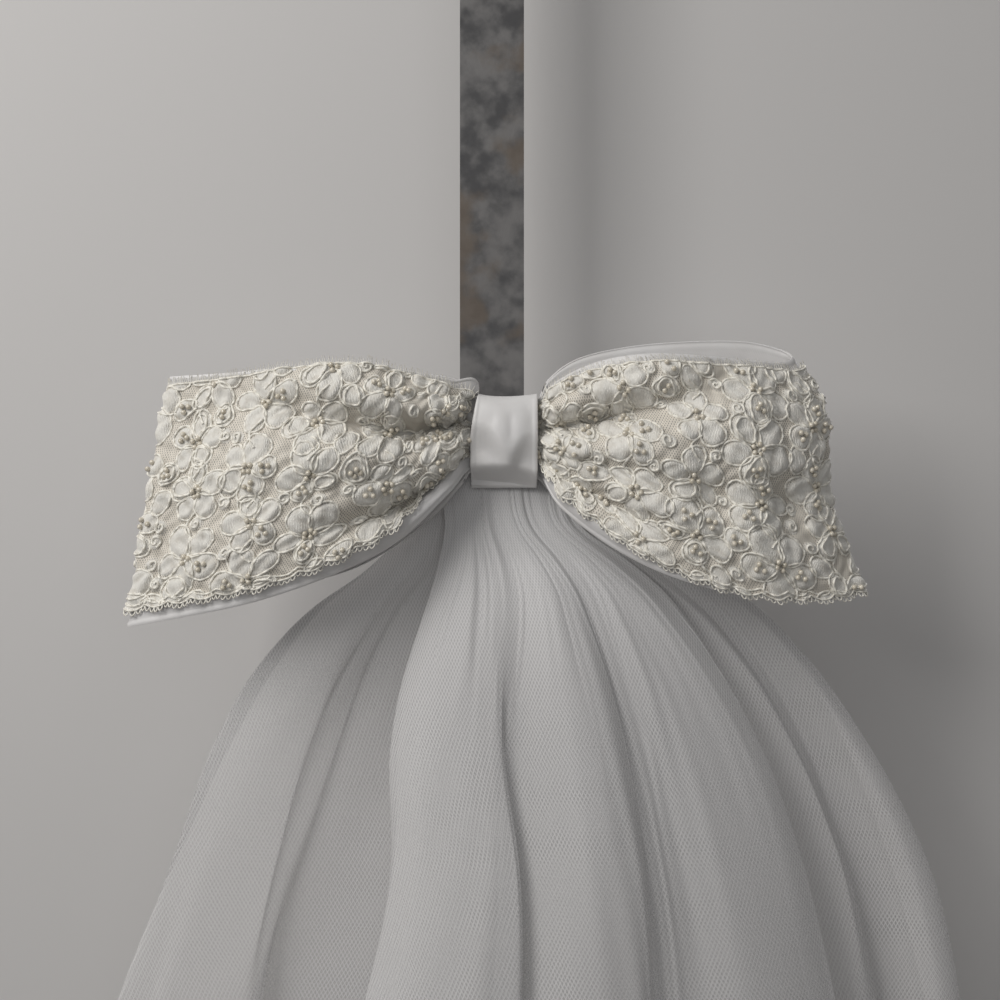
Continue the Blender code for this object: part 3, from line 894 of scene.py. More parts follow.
@dataclass
class LacePattern:
    """The flat layout of the lace: staggered five-petalled flowers, buds and the vines between them."""

    seed: int
    length: float
    height: float = 100.0
    span: float = 152.0
    pitch: tuple[float, float] = (27.0, 24.0)
    start: tuple[float, float] = (0.62, 0.02)
    stagger: float = 0.48
    nudge: float = 3.0
    sizes: tuple[float, float] = (0.86, 1.08)
    petal_count: int = 5
    petal_reach: float = 7.9
    petal_half: tuple[float, float] = (6.2, 4.9)
    petal_sizes: tuple[float, float] = (0.82, 1.14)
    unevenness: float = 0.10
    puff: float = 1.35
    leaf_puff: float = 1.1
    dish: float = 0.45
    tilt: float = 0.55
    # How sharply a petal drops at its edge, how far past it the motif fills the net, and how fast it ends.
    drop_power: int = 6
    fill_reach: float = 1.12
    fill_fade: float = 6.0
    # Soft ripples in the whole lace. Columns: turn in a millimetre, bend, the bend's turn in a millimetre.
    pucker: float = 0.6
    ripples: tuple[tuple[float, float, float], ...] = ((0.62, 1.7, 0.31), (0.57, 1.3, 0.27))
    egg: float = 0.22
    leaf_sizes: tuple[float, ...] = (1.40, 1.10, 0.80, 0.50)
    leaf_tries: int = 700
    closeness: float = 0.97
    heart: float = 3.2
    scroll_size: float = 0.6
    longest_vine: float = 40.0
    vine_sway: float = 3.0
    # Cords: their outline's scale, and the inner ring's scale and chance.
    outline_scale: float = 1.05
    ring_scale: float = 0.74
    ring_chance: float = 0.25
    # Pearls: the chance of a cluster on a petal and on a leaf, and how a cluster's reach grows.
    petal_pearls: float = 0.30
    leaf_pearls: float = 0.62
    cluster_reach: float = 0.85
    heart_growth: float = 0.24
    cluster_growth: float = 0.25

    def __post_init__(self) -> None:
        """Lays out the flowers and fills the ground between them with leaves and scrolls."""
        chance = random.Random(self.seed)
        self.flowers: list[Petal] = []
        for i in range(int(self.span / self.pitch[0]) + 1):
            for j in range(int(self.height / self.pitch[1]) + 1):
                along = (i + self.start[0]) * self.pitch[0] + chance.uniform(-self.nudge, self.nudge)
                up = (j + self.start[1] + self.stagger * (i % 2)) * self.pitch[1]
                up += chance.uniform(-self.nudge, self.nudge)
                turn = chance.uniform(0.0, 2 * math.pi / self.petal_count)
                self.flowers.append(Petal(along, up, turn, chance.uniform(*self.sizes)))
        self.shape_chance = random.Random(self.seed + 200)
        self.petals = [petal for flower in self.flowers for petal in self.petals_of(flower)]
        self.chance = random.Random(self.seed + 100)
        found = self.fill_ground()
        self.buds = [leaf for leaf in found if leaf.size < self.scroll_size]
        self.leaves = [leaf for leaf in found if leaf.size >= self.scroll_size]

    def fill_ground(self) -> list[Petal]:
        """Lays leaves of smaller and smaller sizes, each where the lace is still bare.

        Returns:
            The leaves.
        """
        reach = sum(self.petal_half) / 2
        taken = [(petal.along, petal.up, reach * petal.size) for petal in self.petals]
        taken += [(flower.along, flower.up, self.heart) for flower in self.flowers]
        found = []
        for size in self.leaf_sizes:
            for _ in range(self.leaf_tries):
                along = self.chance.uniform(0.0, self.length)
                up = self.chance.uniform(0.0, self.height)
                mine = reach * size * self.closeness
                if all(math.hypot(along - a, up - u) > mine + r * self.closeness for a, u, r in taken):
                    taken.append((along, up, reach * size))
                    found.append(Petal(along, up, self.chance.uniform(0.0, 2 * math.pi), size))
        return found

    def petals_of(self, flower: Petal) -> list[Petal]:
        """The petals round one flower.

        Args:
            flower: The flower.

        Returns:
            Its petals, each turned outward.
        """
        found = []
        for k in range(self.petal_count):
            angle = flower.turn + 2 * math.pi * k / self.petal_count
            reach = self.petal_reach * flower.size
            along = flower.along + reach * math.cos(angle)
            up = flower.up + reach * math.sin(angle)
            found.append(Petal(along, up, angle, flower.size * self.shape_chance.uniform(*self.petal_sizes)))
        return found

    def outline(self, petal: Petal, scale: float, steps: int = 26) -> Array:
        """The closed outline of a petal, egg-shaped and a little uneven.

        Args:
            petal: The petal.
            scale: Its outline's size, 1 at the petal's edge.
            steps: How many points.

        Returns:
            Flat points along and up.
        """
        angle = np.linspace(0.0, 2 * math.pi, steps, endpoint=False)
        uneven = 1 + self.unevenness * np.sin(2 * angle + self.chance.uniform(0.0, 6.0))
        uneven += 0.5 * self.unevenness * np.sin(3 * angle + self.chance.uniform(0.0, 6.0))
        out = self.petal_half[0] * petal.size * scale * np.cos(angle) * uneven
        side = self.petal_half[1] * petal.size * scale * np.sin(angle) * uneven
        side *= 1 + self.egg * np.cos(angle)
        cos, sin = math.cos(petal.turn), math.sin(petal.turn)
        return np.stack((petal.along + out * cos - side * sin, petal.up + out * sin + side * cos), axis=1)

    def scroll(self, bud: Petal, turns: float = 1.5, radius: float = 5.6) -> Array:
        """An open scroll at a bud.

        Args:
            bud: The bud.
            turns: How many turns the scroll makes.
            radius: Its radius at size 1.

        Returns:
            Flat points along and up.
        """
        share = np.linspace(0.12, 1.0, 22)
        angle = bud.turn + share * turns * 2 * math.pi
        reach = radius * bud.size * share
        return np.stack((bud.along + reach * np.cos(angle), bud.up + reach * np.sin(angle)), axis=1)

    def vine(self, start: Petal, end: Petal, sway: float) -> Array:
        """A vine that swings from one flower's edge to the next.

        Args:
            start: The flower that it leaves.
            end: The flower that it reaches.
            sway: How far it swings aside.

        Returns:
            Flat points along and up.
        """
        a, b = np.array((start.along, start.up)), np.array((end.along, end.up))
        reach = np.linalg.norm(b - a)
        direction = (b - a) / reach
        aside = np.array((-direction[1], direction[0]))
        share = np.linspace(0.30, 0.70, 16)
        swing = sway * np.sin(2 * math.pi * share * 1.5)
        return a + direction * (share * reach)[:, None] + aside * swing[:, None]

    def relief(self, along: Array, up: Array) -> tuple[Array, Array]:
        """How far the lace stands up, and where a motif fills it.

        Args:
            along: Flat places along the lace.
            up: Flat places up the lace.

        Returns:
            The height in millimetres and the motif's share, at each place.
        """
        height = np.zeros_like(along)
        motif = np.zeros_like(along)
        raised = [(petal, self.puff) for petal in self.petals]
        raised += [(leaf, self.leaf_puff) for leaf in self.leaves + self.buds]
        for petal, puff in raised:
            cos, sin = math.cos(petal.turn), math.sin(petal.turn)
            out = (along - petal.along) * cos + (up - petal.up) * sin
            side = (up - petal.up) * cos - (along - petal.along) * sin
            away = np.hypot(out / (self.petal_half[0] * petal.size), side / (self.petal_half[1] * petal.size))
            plate = np.clip(1 - away**self.drop_power, 0.0, 1.0)
            lean = self.tilt * (out * math.cos(3 * petal.up) + side * math.sin(5 * petal.along)) / 5.0
            raised_to = (puff + lean - self.dish * (1 - away**2)) * plate
            height = np.where(away < 1.0, np.maximum(height, raised_to), height)
            motif = np.maximum(motif, np.clip((self.fill_reach - away) * self.fill_fade, 0.0, 1.0))
        (turn, bend, bend_turn), (rise, sway, sway_turn) = self.ripples
        wave = np.sin(along * turn + bend * np.sin(up * bend_turn))
        wave = wave * np.sin(up * rise + sway * np.sin(along * sway_turn))
        return height + self.pucker * wave, motif

    def cords(self) -> list[tuple[Array, bool]]:
        """Draws every cord.

        Returns:
            Each cord's flat path, with whether it closes.
        """
        found: list[tuple[Array, bool]] = []
        for petal in self.petals + self.leaves:
            found.append((self.outline(petal, self.outline_scale), True))
            if self.chance.random() < self.ring_chance:
                found.append((self.outline(petal, self.ring_scale), True))
        found += [(self.scroll(bud), False) for bud in self.buds]
        for k, (flower, after) in enumerate(zip(self.flowers, self.flowers[1:])):
            if math.hypot(after.along - flower.along, after.up - flower.up) < self.longest_vine:
                found.append((self.vine(flower, after, self.vine_sway * (1 if k % 2 else -1)), False))
        return found

    def pearls(self) -> list[tuple[float, float]]:
        """Places every pearl, in clusters on the flowers' hearts and on some petals and leaves.

        Returns:
            The pearls' flat places.
        """
        found: list[tuple[float, float]] = []
        for flower in self.flowers:
            found += self.cluster(flower, self.chance.choice((3, 4, 5)), self.heart_growth)
        for petal in self.petals:
            if self.chance.random() < self.petal_pearls:
                found += self.cluster(petal, 3, self.cluster_growth)
        for leaf in self.leaves:
            if self.chance.random() < self.leaf_pearls:
                count = self.chance.choice((2, 3, 3, 4))
                found += self.cluster(leaf, count, self.cluster_growth)
        return found

    def cluster(self, middle: Petal, count: int, growth: float) -> list[tuple[float, float]]:
        """Sets pearls round a place.

        Args:
            middle: The petal, leaf or flower that they lie on.
            count: How many.
            growth: How much each pearl adds to the cluster's reach.

        Returns:
            The pearls' flat places.
        """
        reach = self.cluster_reach + growth * count
        turn = self.chance.uniform(0.0, 2 * math.pi)
        angles = [turn + 2 * math.pi * k / count for k in range(count)]
        return [(middle.along + reach * math.cos(a), middle.up + reach * math.sin(a)) for a in angles]


@dataclass
class BowLoop:
    """One loop of the bow: its satin ribbon, and the beaded lace that lies on its front."""

    side: Side
    space: ClothSpace
    finishes: Finishes
    lace_sections: tuple[float, float] = (1.08, 8.5)
    ribbon_columns: int = 210
    ribbon_rows: int = 60
    # The satin swells on both sides of a valley. Columns of lobes: share, place in half-widths of the valley.
    lobe: float = 0.30
    lobes: tuple[tuple[float, float], ...] = ((1.0, -1.5), (0.8, 1.6))
    lobe_from: float = 0.6
    lobe_ramp: float = 1.6
    # How open the valleys are inside the knot.
    pinched: float = 0.3
    # The rolled hem and its stitched groove. Columns: height, distance from the edge, half-width.
    hem: Rows = ((0.55, 0.9, 0.8), (-0.22, 2.6, 0.5))
    hem_lift: float = 0.6
    ribbon_wall: float = 0.9
    lace_step: float = 0.72
    lace_lift: float = 0.35
    scallops: int = 14
    scallop_rise: float = 0.018
    cord_radius: float = 0.5
    cord_lift: float = 0.15
    # The edge cords lie inside the lower edge and the upper one, by shares of the height.
    edge_cord: float = 0.4
    edge_lift: float = 0.1
    lower_cords: tuple[float, float] = (0.004, 0.022)
    upper_cord: float = 0.006
    pearl_radius: float = 1.1
    pearl_lift: float = 0.75
    pearl_margin: float = 1.3
    picot_radius: float = 0.312
    picot_pitch: float = 2.1
    picot_width: float = 0.42
    picot_reach: float = 1.9
    picot_root: float = 0.002
    lash_radius: float = 0.132
    lash_pitch: float = 0.9
    lash_length: float = 3.4
    lash_lean: float = 0.8
    lash_curl: float = 0.5
    lash_root: float = 0.004
    # Where the satin stands up beside the knot: side, reach, rise, half-width, lean over the knot.
    tufts: tuple[tuple[Side, float, float, float, float], ...] = ((Side.LEFT, 16.2, 7.0, 3.3, 4.6),)
    tuft_base: float = 16.4
    tuft_turn: float = 3.4
    outward: float = field(default=1.0, init=False)

    def __post_init__(self) -> None:
        """Measures the lace along the loop and lays out its pattern."""
        stations = np.linspace(*self.lace_sections, 241)
        middle = self.surface(stations, np.full_like(stations, 0.5))
        self.lace_rule = (path_length(middle), stations)
        self.lace_length = float(self.lace_rule[0][-1])
        self.pattern = LacePattern(LACE_SEED[self.side], self.lace_length)
        if self.normal(np.array([4.0]), np.array([0.5]))[0, 1] < 0:
            self.outward = -1.0

    def surface(self, station: Array, share: Array) -> Array:
        """Points on the middle of the ribbon.

        Args:
            station: Places along the ribbon, in sections.
            share: Shares of the ribbon's height, from its lower edge.

        Returns:
            Cloth points in millimetres.
        """
        rows = LOOP_SECTIONS[self.side]
        keys = np.arange(len(rows))
        reach, depth, top, bottom, crown = (curve(keys, column(rows, k), station) for k in range(5))
        lean = np.zeros_like(station)
        for side, where, rise, half, over in self.tufts:
            if side is self.side:
                near = np.exp(-(((reach - where) / half) ** 2)) * (station < len(rows) / 2)
                top = top + rise * near
                lean = lean + over * near
        edge = OUTER_EDGE[self.side]
        stretch = curve(column(edge, 0), column(edge, 1), share)
        across = np.minimum(reach, KNOT_EDGE) + np.maximum(reach - KNOT_EDGE, 0.0) * stretch
        depth = depth - crown * (2 * share - 1) ** 2
        for start, end, last, deep, half in LOOP_VALLEYS[self.side]:
            before = np.clip(station / last, 0.0, 1.0)
            centre = start + (end - start) * before**VALLEY_TURN
            opening = self.pinched + (1 - self.pinched) * eased((station - 1.0) / PINCH_RAMP)
            fade = (1 - before**2) ** VALLEY_FADE
            depth -= deep * opening * fade * np.exp(-(((share - centre) / half) ** 2))
            lobe = self.lobe * deep * opening * fade * eased((station - self.lobe_from) / self.lobe_ramp)
            for scale, place in self.lobes:
                depth += scale * lobe * np.exp(-(((share - centre + place * half) / half) ** 2))
        for middle, height, deep, half_length, half_height in LOOP_DENTS[self.side]:
            away = ((station - middle) / half_length) ** 2 + ((share - height) / half_height) ** 2
            depth -= deep * np.exp(-away)
        height = bottom + (top - bottom) * share
        across = across - lean * eased((height - self.tuft_base) / self.tuft_turn)
        return np.stack((self.side.sign * across, depth, height), axis=-1)

    def normal(self, station: Array, share: Array) -> Array:
        """Unit normals of the ribbon that point out of the loop.

        Args:
            station: Places along the ribbon, in sections.
            share: Shares of the ribbon's height.

        Returns:
            The normals, in cloth axes.
        """
        step = 0.01
        low, high = np.clip(share - step, 0.0, 1.0), np.clip(share + step, 0.0, 1.0)
        along = self.surface(station + step, share) - self.surface(station - step, share)
        up = self.surface(station, high) - self.surface(station, low)
        return self.outward * unit(np.cross(along, up))

    def station_at(self, along: Array) -> Array:
        """The section at each place along the flat lace."""
        return np.interp(along, self.lace_rule[0], self.lace_rule[1])

    def lace_limits(self, along: Array) -> tuple[Array, Array]:
        """Where the lace ends, at places along it.

        Args:
            along: Flat places along the lace.

        Returns:
            The height shares of its scalloped lower edge and of its upper edge.
        """
        rows = LACE_EDGES[self.side]
        station = self.station_at(along)
        low = curve(column(rows, 0), column(rows, 1), station)
        high = curve(column(rows, 0), column(rows, 2), station)
        wave = np.abs(np.sin(math.pi * self.scallops * along / self.lace_length))
        return low + self.scallop_rise * (1.0 - wave), high

    def lace_lift_at(self, along: Array, up: Array) -> Array:
        """How far the lace's upper face stands off the ribbon's middle."""
        height, _ = self.pattern.relief(along, up)
        return SATIN_WALL / 2 + SEAM_GAP + self.lace_lift + height

    def on_lace(self, flat: Array, above: float) -> tuple[Array, Array]:
        """Points on the lace in the frame's metres, with their normals.

        Args:
            flat: Flat points along and up.
            above: How far above the lace, in millimetres.

        Returns:
            Points in metres and unit normals in the frame's axes.
        """
        along, up = flat[:, 0], flat[:, 1]
        station, share = self.station_at(along), up / self.pattern.height
        lift = self.lace_lift_at(along, up) + above
        normals = self.normal(station, share)
        points = self.surface(station, share) + normals * lift[:, None]
        return self.space.metres(points), normals * TO_FRAME

    def make_ribbon(self) -> None:
        """Makes the satin ribbon, with a rolled hem along both edges."""
        last = len(LOOP_SECTIONS[self.side]) - 1
        share = 0.5 - 0.5 * np.cos(np.linspace(0.0, math.pi, self.ribbon_rows))
        station, share = np.meshgrid(np.linspace(0.0, last, self.ribbon_columns), share, indexing="ij")
        up = share * RIBBON_WIDTH / MM
        from_edge = np.minimum(up, RIBBON_WIDTH / MM - up)
        roll = sum(rise * np.exp(-(((from_edge - at) / half) ** 2)) for rise, at, half in self.hem)
        lift = roll * self.hem_lift + (SATIN_WALL - self.ribbon_wall) / 2
        points = self.surface(station, share) + self.normal(station, share) * lift[..., None]
        length = path_length(points[:, self.ribbon_rows // 2])
        cloth = np.stack((np.broadcast_to(length[:, None], up.shape), up), axis=-1)
        parts = MeshParts()
        faces = grid_faces(self.ribbon_columns, self.ribbon_rows, self.side is Side.LEFT)
        parts.add(self.space.metres(points).reshape(-1, 3), faces, cloth.reshape(-1, 2) * MM)
        piece = parts.build(f"satin_ribbon_{self.side.value}")
        thicken(piece, self.ribbon_wall)
        dress(piece, self.finishes.satin, "satin", f"bow_loop_{self.side.value}")

    def make_lace(self) -> None:
        """Makes the lace itself, with its petals puffed up from the net."""
        columns = int(self.lace_length / self.lace_step)
        rows = int(self.pattern.height / self.lace_step)
        along, row = np.meshgrid(
            np.linspace(0.0, self.lace_length, columns), np.linspace(0.0, 1.0, rows), indexing="ij"
        )
        low, high = self.lace_limits(along)
        share = low + (high - low) * row
        up = share * self.pattern.height
        _, motif = self.pattern.relief(along, up)
        flat = np.stack((along.ravel(), up.ravel()), axis=1)
        points, _ = self.on_lace(flat, 0.0)
        parts = MeshParts()
        parts.add(points, grid_faces(columns, rows, self.side is Side.LEFT), flat * MM)
        piece = parts.build(f"lace_ground_{self.side.value}", {"motif": motif})
        dress(piece, self.finishes.lace, "lace", f"lace_{self.side.value}")

    def inside(self, flat: Array, margin: float = 0.4) -> Array:
        """Tells which flat points lie on the lace, clear of its edges.

        Args:
            flat: Flat points along and up.
            margin: How far from the edges.

        Returns:
            True for each point that lies on the lace.
        """
        low, high = self.lace_limits(flat[:, 0])
        share = flat[:, 1] / self.pattern.height
        edge = margin / self.pattern.height
        within = (flat[:, 0] > margin) & (flat[:, 0] < self.lace_length - margin)
        return within & (share > low + edge) & (share < high - edge)

    def runs(self, flat: Array, closed: bool) -> list[tuple[Array, bool]]:
        """The stretches of a flat path that lie on the lace.

        Args:
            flat: The path's flat points.
            closed: Whether the path closes.

        Returns:
            Each stretch, with whether it closes.
        """
        on = self.inside(flat)
        if on.all():
            return [(flat, closed)]
        if closed and on.any():
            turn = int(np.argmin(on))
            flat, on = np.roll(flat, -turn, axis=0), np.roll(on, -turn)
        found, run = [], []
        for point, keep in zip(flat, on):
            if keep:
                run.append(point)
            elif len(run) > 3:
                found.append((np.array(run), False))
            if not keep:
                run = []
        if len(run) > 3:
            found.append((np.array(run), False))
        return found

    def make_cords(self) -> None:
        """Makes the cords that outline the petals, run between the flowers and edge the lace."""
        parts = MeshParts()
        for flat, closed in self.pattern.cords():
            for run, whole in self.runs(flat, closed):
                points, normals = self.on_lace(run, self.cord_lift)
                parts.add(*tube(points, normals, self.cord_radius * MM, 6, whole))
        along = np.linspace(0.0, self.lace_length, 320)
        low, high = self.lace_limits(along)
        for share in (*(low + inside for inside in self.lower_cords), high - self.upper_cord):
            flat = np.stack((along, share * self.pattern.height), axis=1)
            points, normals = self.on_lace(flat, self.edge_lift)
            parts.add(*tube(points, normals, self.edge_cord * MM, 6, False))
        piece = parts.build(f"lace_cords_{self.side.value}")
        dress(piece, self.finishes.cord, "lace")

    def make_edging(self) -> None:
        """Makes the picot loops under the lower edge and the fine lashes along the upper one."""
        parts = MeshParts()
        chance = random.Random(LACE_SEED[self.side] + 7)
        turn = np.linspace(0.0, math.pi, 8)
        for middle in np.arange(1.5, self.lace_length - 1.5, self.picot_pitch):
            along = middle + self.picot_pitch * self.picot_width * np.cos(turn)
            low, _ = self.lace_limits(np.full_like(along, middle))
            drop = self.picot_reach * np.sin(turn)
            base = np.stack((along, (low + self.picot_root) * self.pattern.height), axis=1)
            points, normals = self.on_lace(base, self.edge_lift)
            points += unit(self.down_at(along, low)) * (drop * MM)[:, None]
            parts.add(*tube(points, normals, self.picot_radius * MM, 5, False))
        for middle in np.arange(1.0, self.lace_length - 1.0, self.lash_pitch):
            length = self.lash_length * chance.uniform(0.45, 1.0)
            lean = chance.uniform(-self.lash_lean, self.lash_lean)
            reach = np.linspace(0.0, 1.0, 4)
            along = np.full(4, middle) + lean * reach
            _, high = self.lace_limits(np.full(4, middle))
            base = np.stack((along, (high - self.lash_root) * self.pattern.height), axis=1)
            points, normals = self.on_lace(base, 0.0)
            up = -unit(self.down_at(along, high - 0.01))
            rise = up * (length * reach)[:, None] + normals * (self.lash_curl * reach**2)[:, None]
            parts.add(*tube(points + rise * MM, normals, self.lash_radius * MM, 3, False))
        piece = parts.build(f"lace_edging_{self.side.value}")
        dress(piece, self.finishes.cord, "lace")

    def down_at(self, along: Array, share: Array) -> Array:
        """The way down the ribbon at each place.

        Args:
            along: Flat places along the lace.
            share: Shares of the ribbon's height.

        Returns:
            The way down, in the frame's axes.
        """
        station = self.station_at(along)
        lower = self.surface(station, share)
        upper = self.surface(station, share + 0.02)
        return (lower - upper) * TO_FRAME

    def make_pearls(self) -> None:
        """Makes the seed pearls, each a copy of one small ball that is sewn down on the lace."""
        bpy.ops.object.select_all(action="DESELECT")
        bpy.ops.mesh.primitive_uv_sphere_add(segments=10, ring_count=7, radius=self.pearl_radius * MM)
        ball = bpy.context.object
        verts = np.array([v.co for v in ball.data.vertices])
        faces = [tuple(p.vertices) for p in ball.data.polygons]
        bpy.data.objects.remove(ball, do_unlink=True)
        flat = np.array(self.pattern.pearls())
        flat = flat[self.inside(flat, self.pearl_margin)]
        centres, _ = self.on_lace(flat, self.pearl_radius * self.pearl_lift)
        mesh = bpy.data.meshes.new(f"pearls_{self.side.value}")
        points = (centres[:, None] + verts[None]).reshape(-1, 3)
        every = [tuple(v + k * len(verts) for v in face) for k in range(len(centres)) for face in faces]
        mesh.from_pydata(points.tolist(), [], every)
        mesh.shade_smooth()
        piece = bpy.data.objects.new(mesh.name, mesh)
        bpy.context.scene.collection.objects.link(piece)
        dress(piece, self.finishes.pearl, "lace")

    def make(self) -> None:
        """Makes every piece of the loop."""
        for make in (self.make_ribbon, self.make_lace, self.make_cords, self.make_edging, self.make_pearls):
            make()


@dataclass
class KnotBand:
    """The satin strip wrapped round the pinch, creased where it is pulled tight."""

    space: ClothSpace
    material: bpy.types.Material
    half_width: float = 13.4
    half_height: float = 18.5
    half_depth: float = 8.0
    centre_depth: float = 31.0
    squareness: float = 2.4
    tuck: float = 0.9
    tuck_back: float = 7.0
    # The front turns down below a line that dips to a point in the middle.
    turn_line: float = 0.32
    turn_slant: float = 0.14
    turn_depth: float = 4.2
    turn_less: float = 0.25
    turn_reach: float = 0.70
    tip_across: float = 0.14
    tip_width: float = 0.34
    tip_drop: float = 0.46
    swell: float = 1.3
    sag: float = 1.1
    # How much narrower the band is at its upper left corner.
    taper: float = 3.0
    taper_power: float = 1.3
    # Where the underside starts, below the middle, and how much lower it starts at the right.
    under_from: float = 0.48
    under_slant: float = 0.20
    under_reach: float = 0.50
    # The stitched fold along each edge: height, place, half-width.
    edge_fold: tuple[float, float, float] = (0.35, 0.93, 0.05)
    wall: float = 1.0
    way_round: float = 30.0 * math.pi
    length: float = 0.100
    width: float = 0.027
    around: int = 150
    rows: int = 56
    # Soft pads between the creases. Columns: height, across, up, half-width, half-height.
    pads: Rows = (
        (0.60, -0.10, 0.16, 0.30, 0.36),
        (0.65, 0.48, 0.24, 0.30, 0.34),
    )
    # Columns: depth, across and up at its start, across and up at its end, half-width.
    creases: Rows = (
        (0.40, 0.20, 0.44, 0.22, 0.16, 0.13),
        (0.35, -0.95, 0.62, -0.40, 0.44, 0.18),
        (0.30, -0.90, -0.30, -0.50, -0.95, 0.16),
        (0.30, 0.35, -0.55, 0.60, -1.00, 0.16),
        (0.25, 0.60, 0.95, 0.80, 0.45, 0.14),
    )

    def surface(self, turn: Array, width: Array) -> Array:
        """Points on the middle of the band.

        Args:
            turn: Turns round the band's section, 0 in front.
            width: Shares of the band's width.

        Returns:
            Cloth points in millimetres.
        """
        power = 2.0 / self.squareness
        cos, sin = np.cos(2 * math.pi * turn), np.sin(2 * math.pi * turn)
        forward = np.sign(cos) * np.abs(cos) ** power
        height = np.sign(sin) * np.abs(sin) ** power
        side = 2 * width - 1
        front = np.maximum(forward, 0.0)
        relief = self.swell * (1 - side**2)
        for raised, across, up, half_across, half_up in self.pads:
            away = ((side - across) / half_across) ** 2 + ((height - up) / half_up) ** 2
            relief += raised * np.exp(-away)
        for deep, start_across, start_up, end_across, end_up, half in self.creases:
            run_across, run_up = end_across - start_across, end_up - start_up
            share = (side - start_across) * run_across + (height - start_up) * run_up
            share = np.clip(share / (run_across**2 + run_up**2), 0.0, 1.0)
            off_across = side - start_across - share * run_across
            off_up = height - start_up - share * run_up
            relief -= deep * np.exp(-(off_across**2 + off_up**2) / half**2)
        tip = np.exp(-(((side - self.tip_across) / self.tip_width) ** 2))
        line = self.turn_line - self.turn_slant * side - self.tip_drop * tip
        relief -= self.turn_depth * (1 - self.turn_less * side) * eased((line - height) / self.turn_reach)
        under_line = self.under_from + self.under_slant * np.maximum(side, 0.0) ** 2
        under = eased((-height - under_line) / self.under_reach)
        depth = self.centre_depth + self.half_depth * forward + relief * front
        tucked = self.tuck * self.half_depth * front + self.tuck_back * (1 + np.minimum(forward, 0.0))
        depth -= under * tucked
        sag = self.sag * (1 - side**2) * np.maximum(height, 0.0) ** 3
        across = self.half_width * side
        across += self.taper * np.maximum(height, 0.0) ** self.taper_power * np.maximum(-side, 0.0) ** 2
        rise, at, half = self.edge_fold
        depth += rise * np.exp(-(((np.abs(side) - at) / half) ** 2)) * front
        return np.stack((across, depth, self.half_height * height - sag), axis=-1)

    def make(self) -> None:
        """Makes the band."""
        turn, width = np.meshgrid(
            np.linspace(0.0, 1.0, self.around, endpoint=False) + 0.5,
            np.linspace(0.0, 1.0, self.rows),
            indexing="ij",
        )
        points = self.surface(turn, width)
        number = np.arange(self.around * self.rows).reshape(self.around, self.rows)
        after = np.roll(number, -1, axis=0)
        a, b = number[:, :-1].ravel(), after[:, :-1].ravel()
        c, d = after[:, 1:].ravel(), number[:, 1:].ravel()
        cloth = np.stack((turn * self.way_round, width * 2 * self.half_width), axis=-1) * MM
        parts = MeshParts()
        faces = np.stack((a, b, c, d), axis=1)
        parts.add(self.space.metres(points).reshape(-1, 3), faces, cloth.reshape(-1, 2))
        piece = parts.build("satin_knot")
        thicken(piece, self.wall)
        dress(piece, self.material, "satin", "bow_knot")


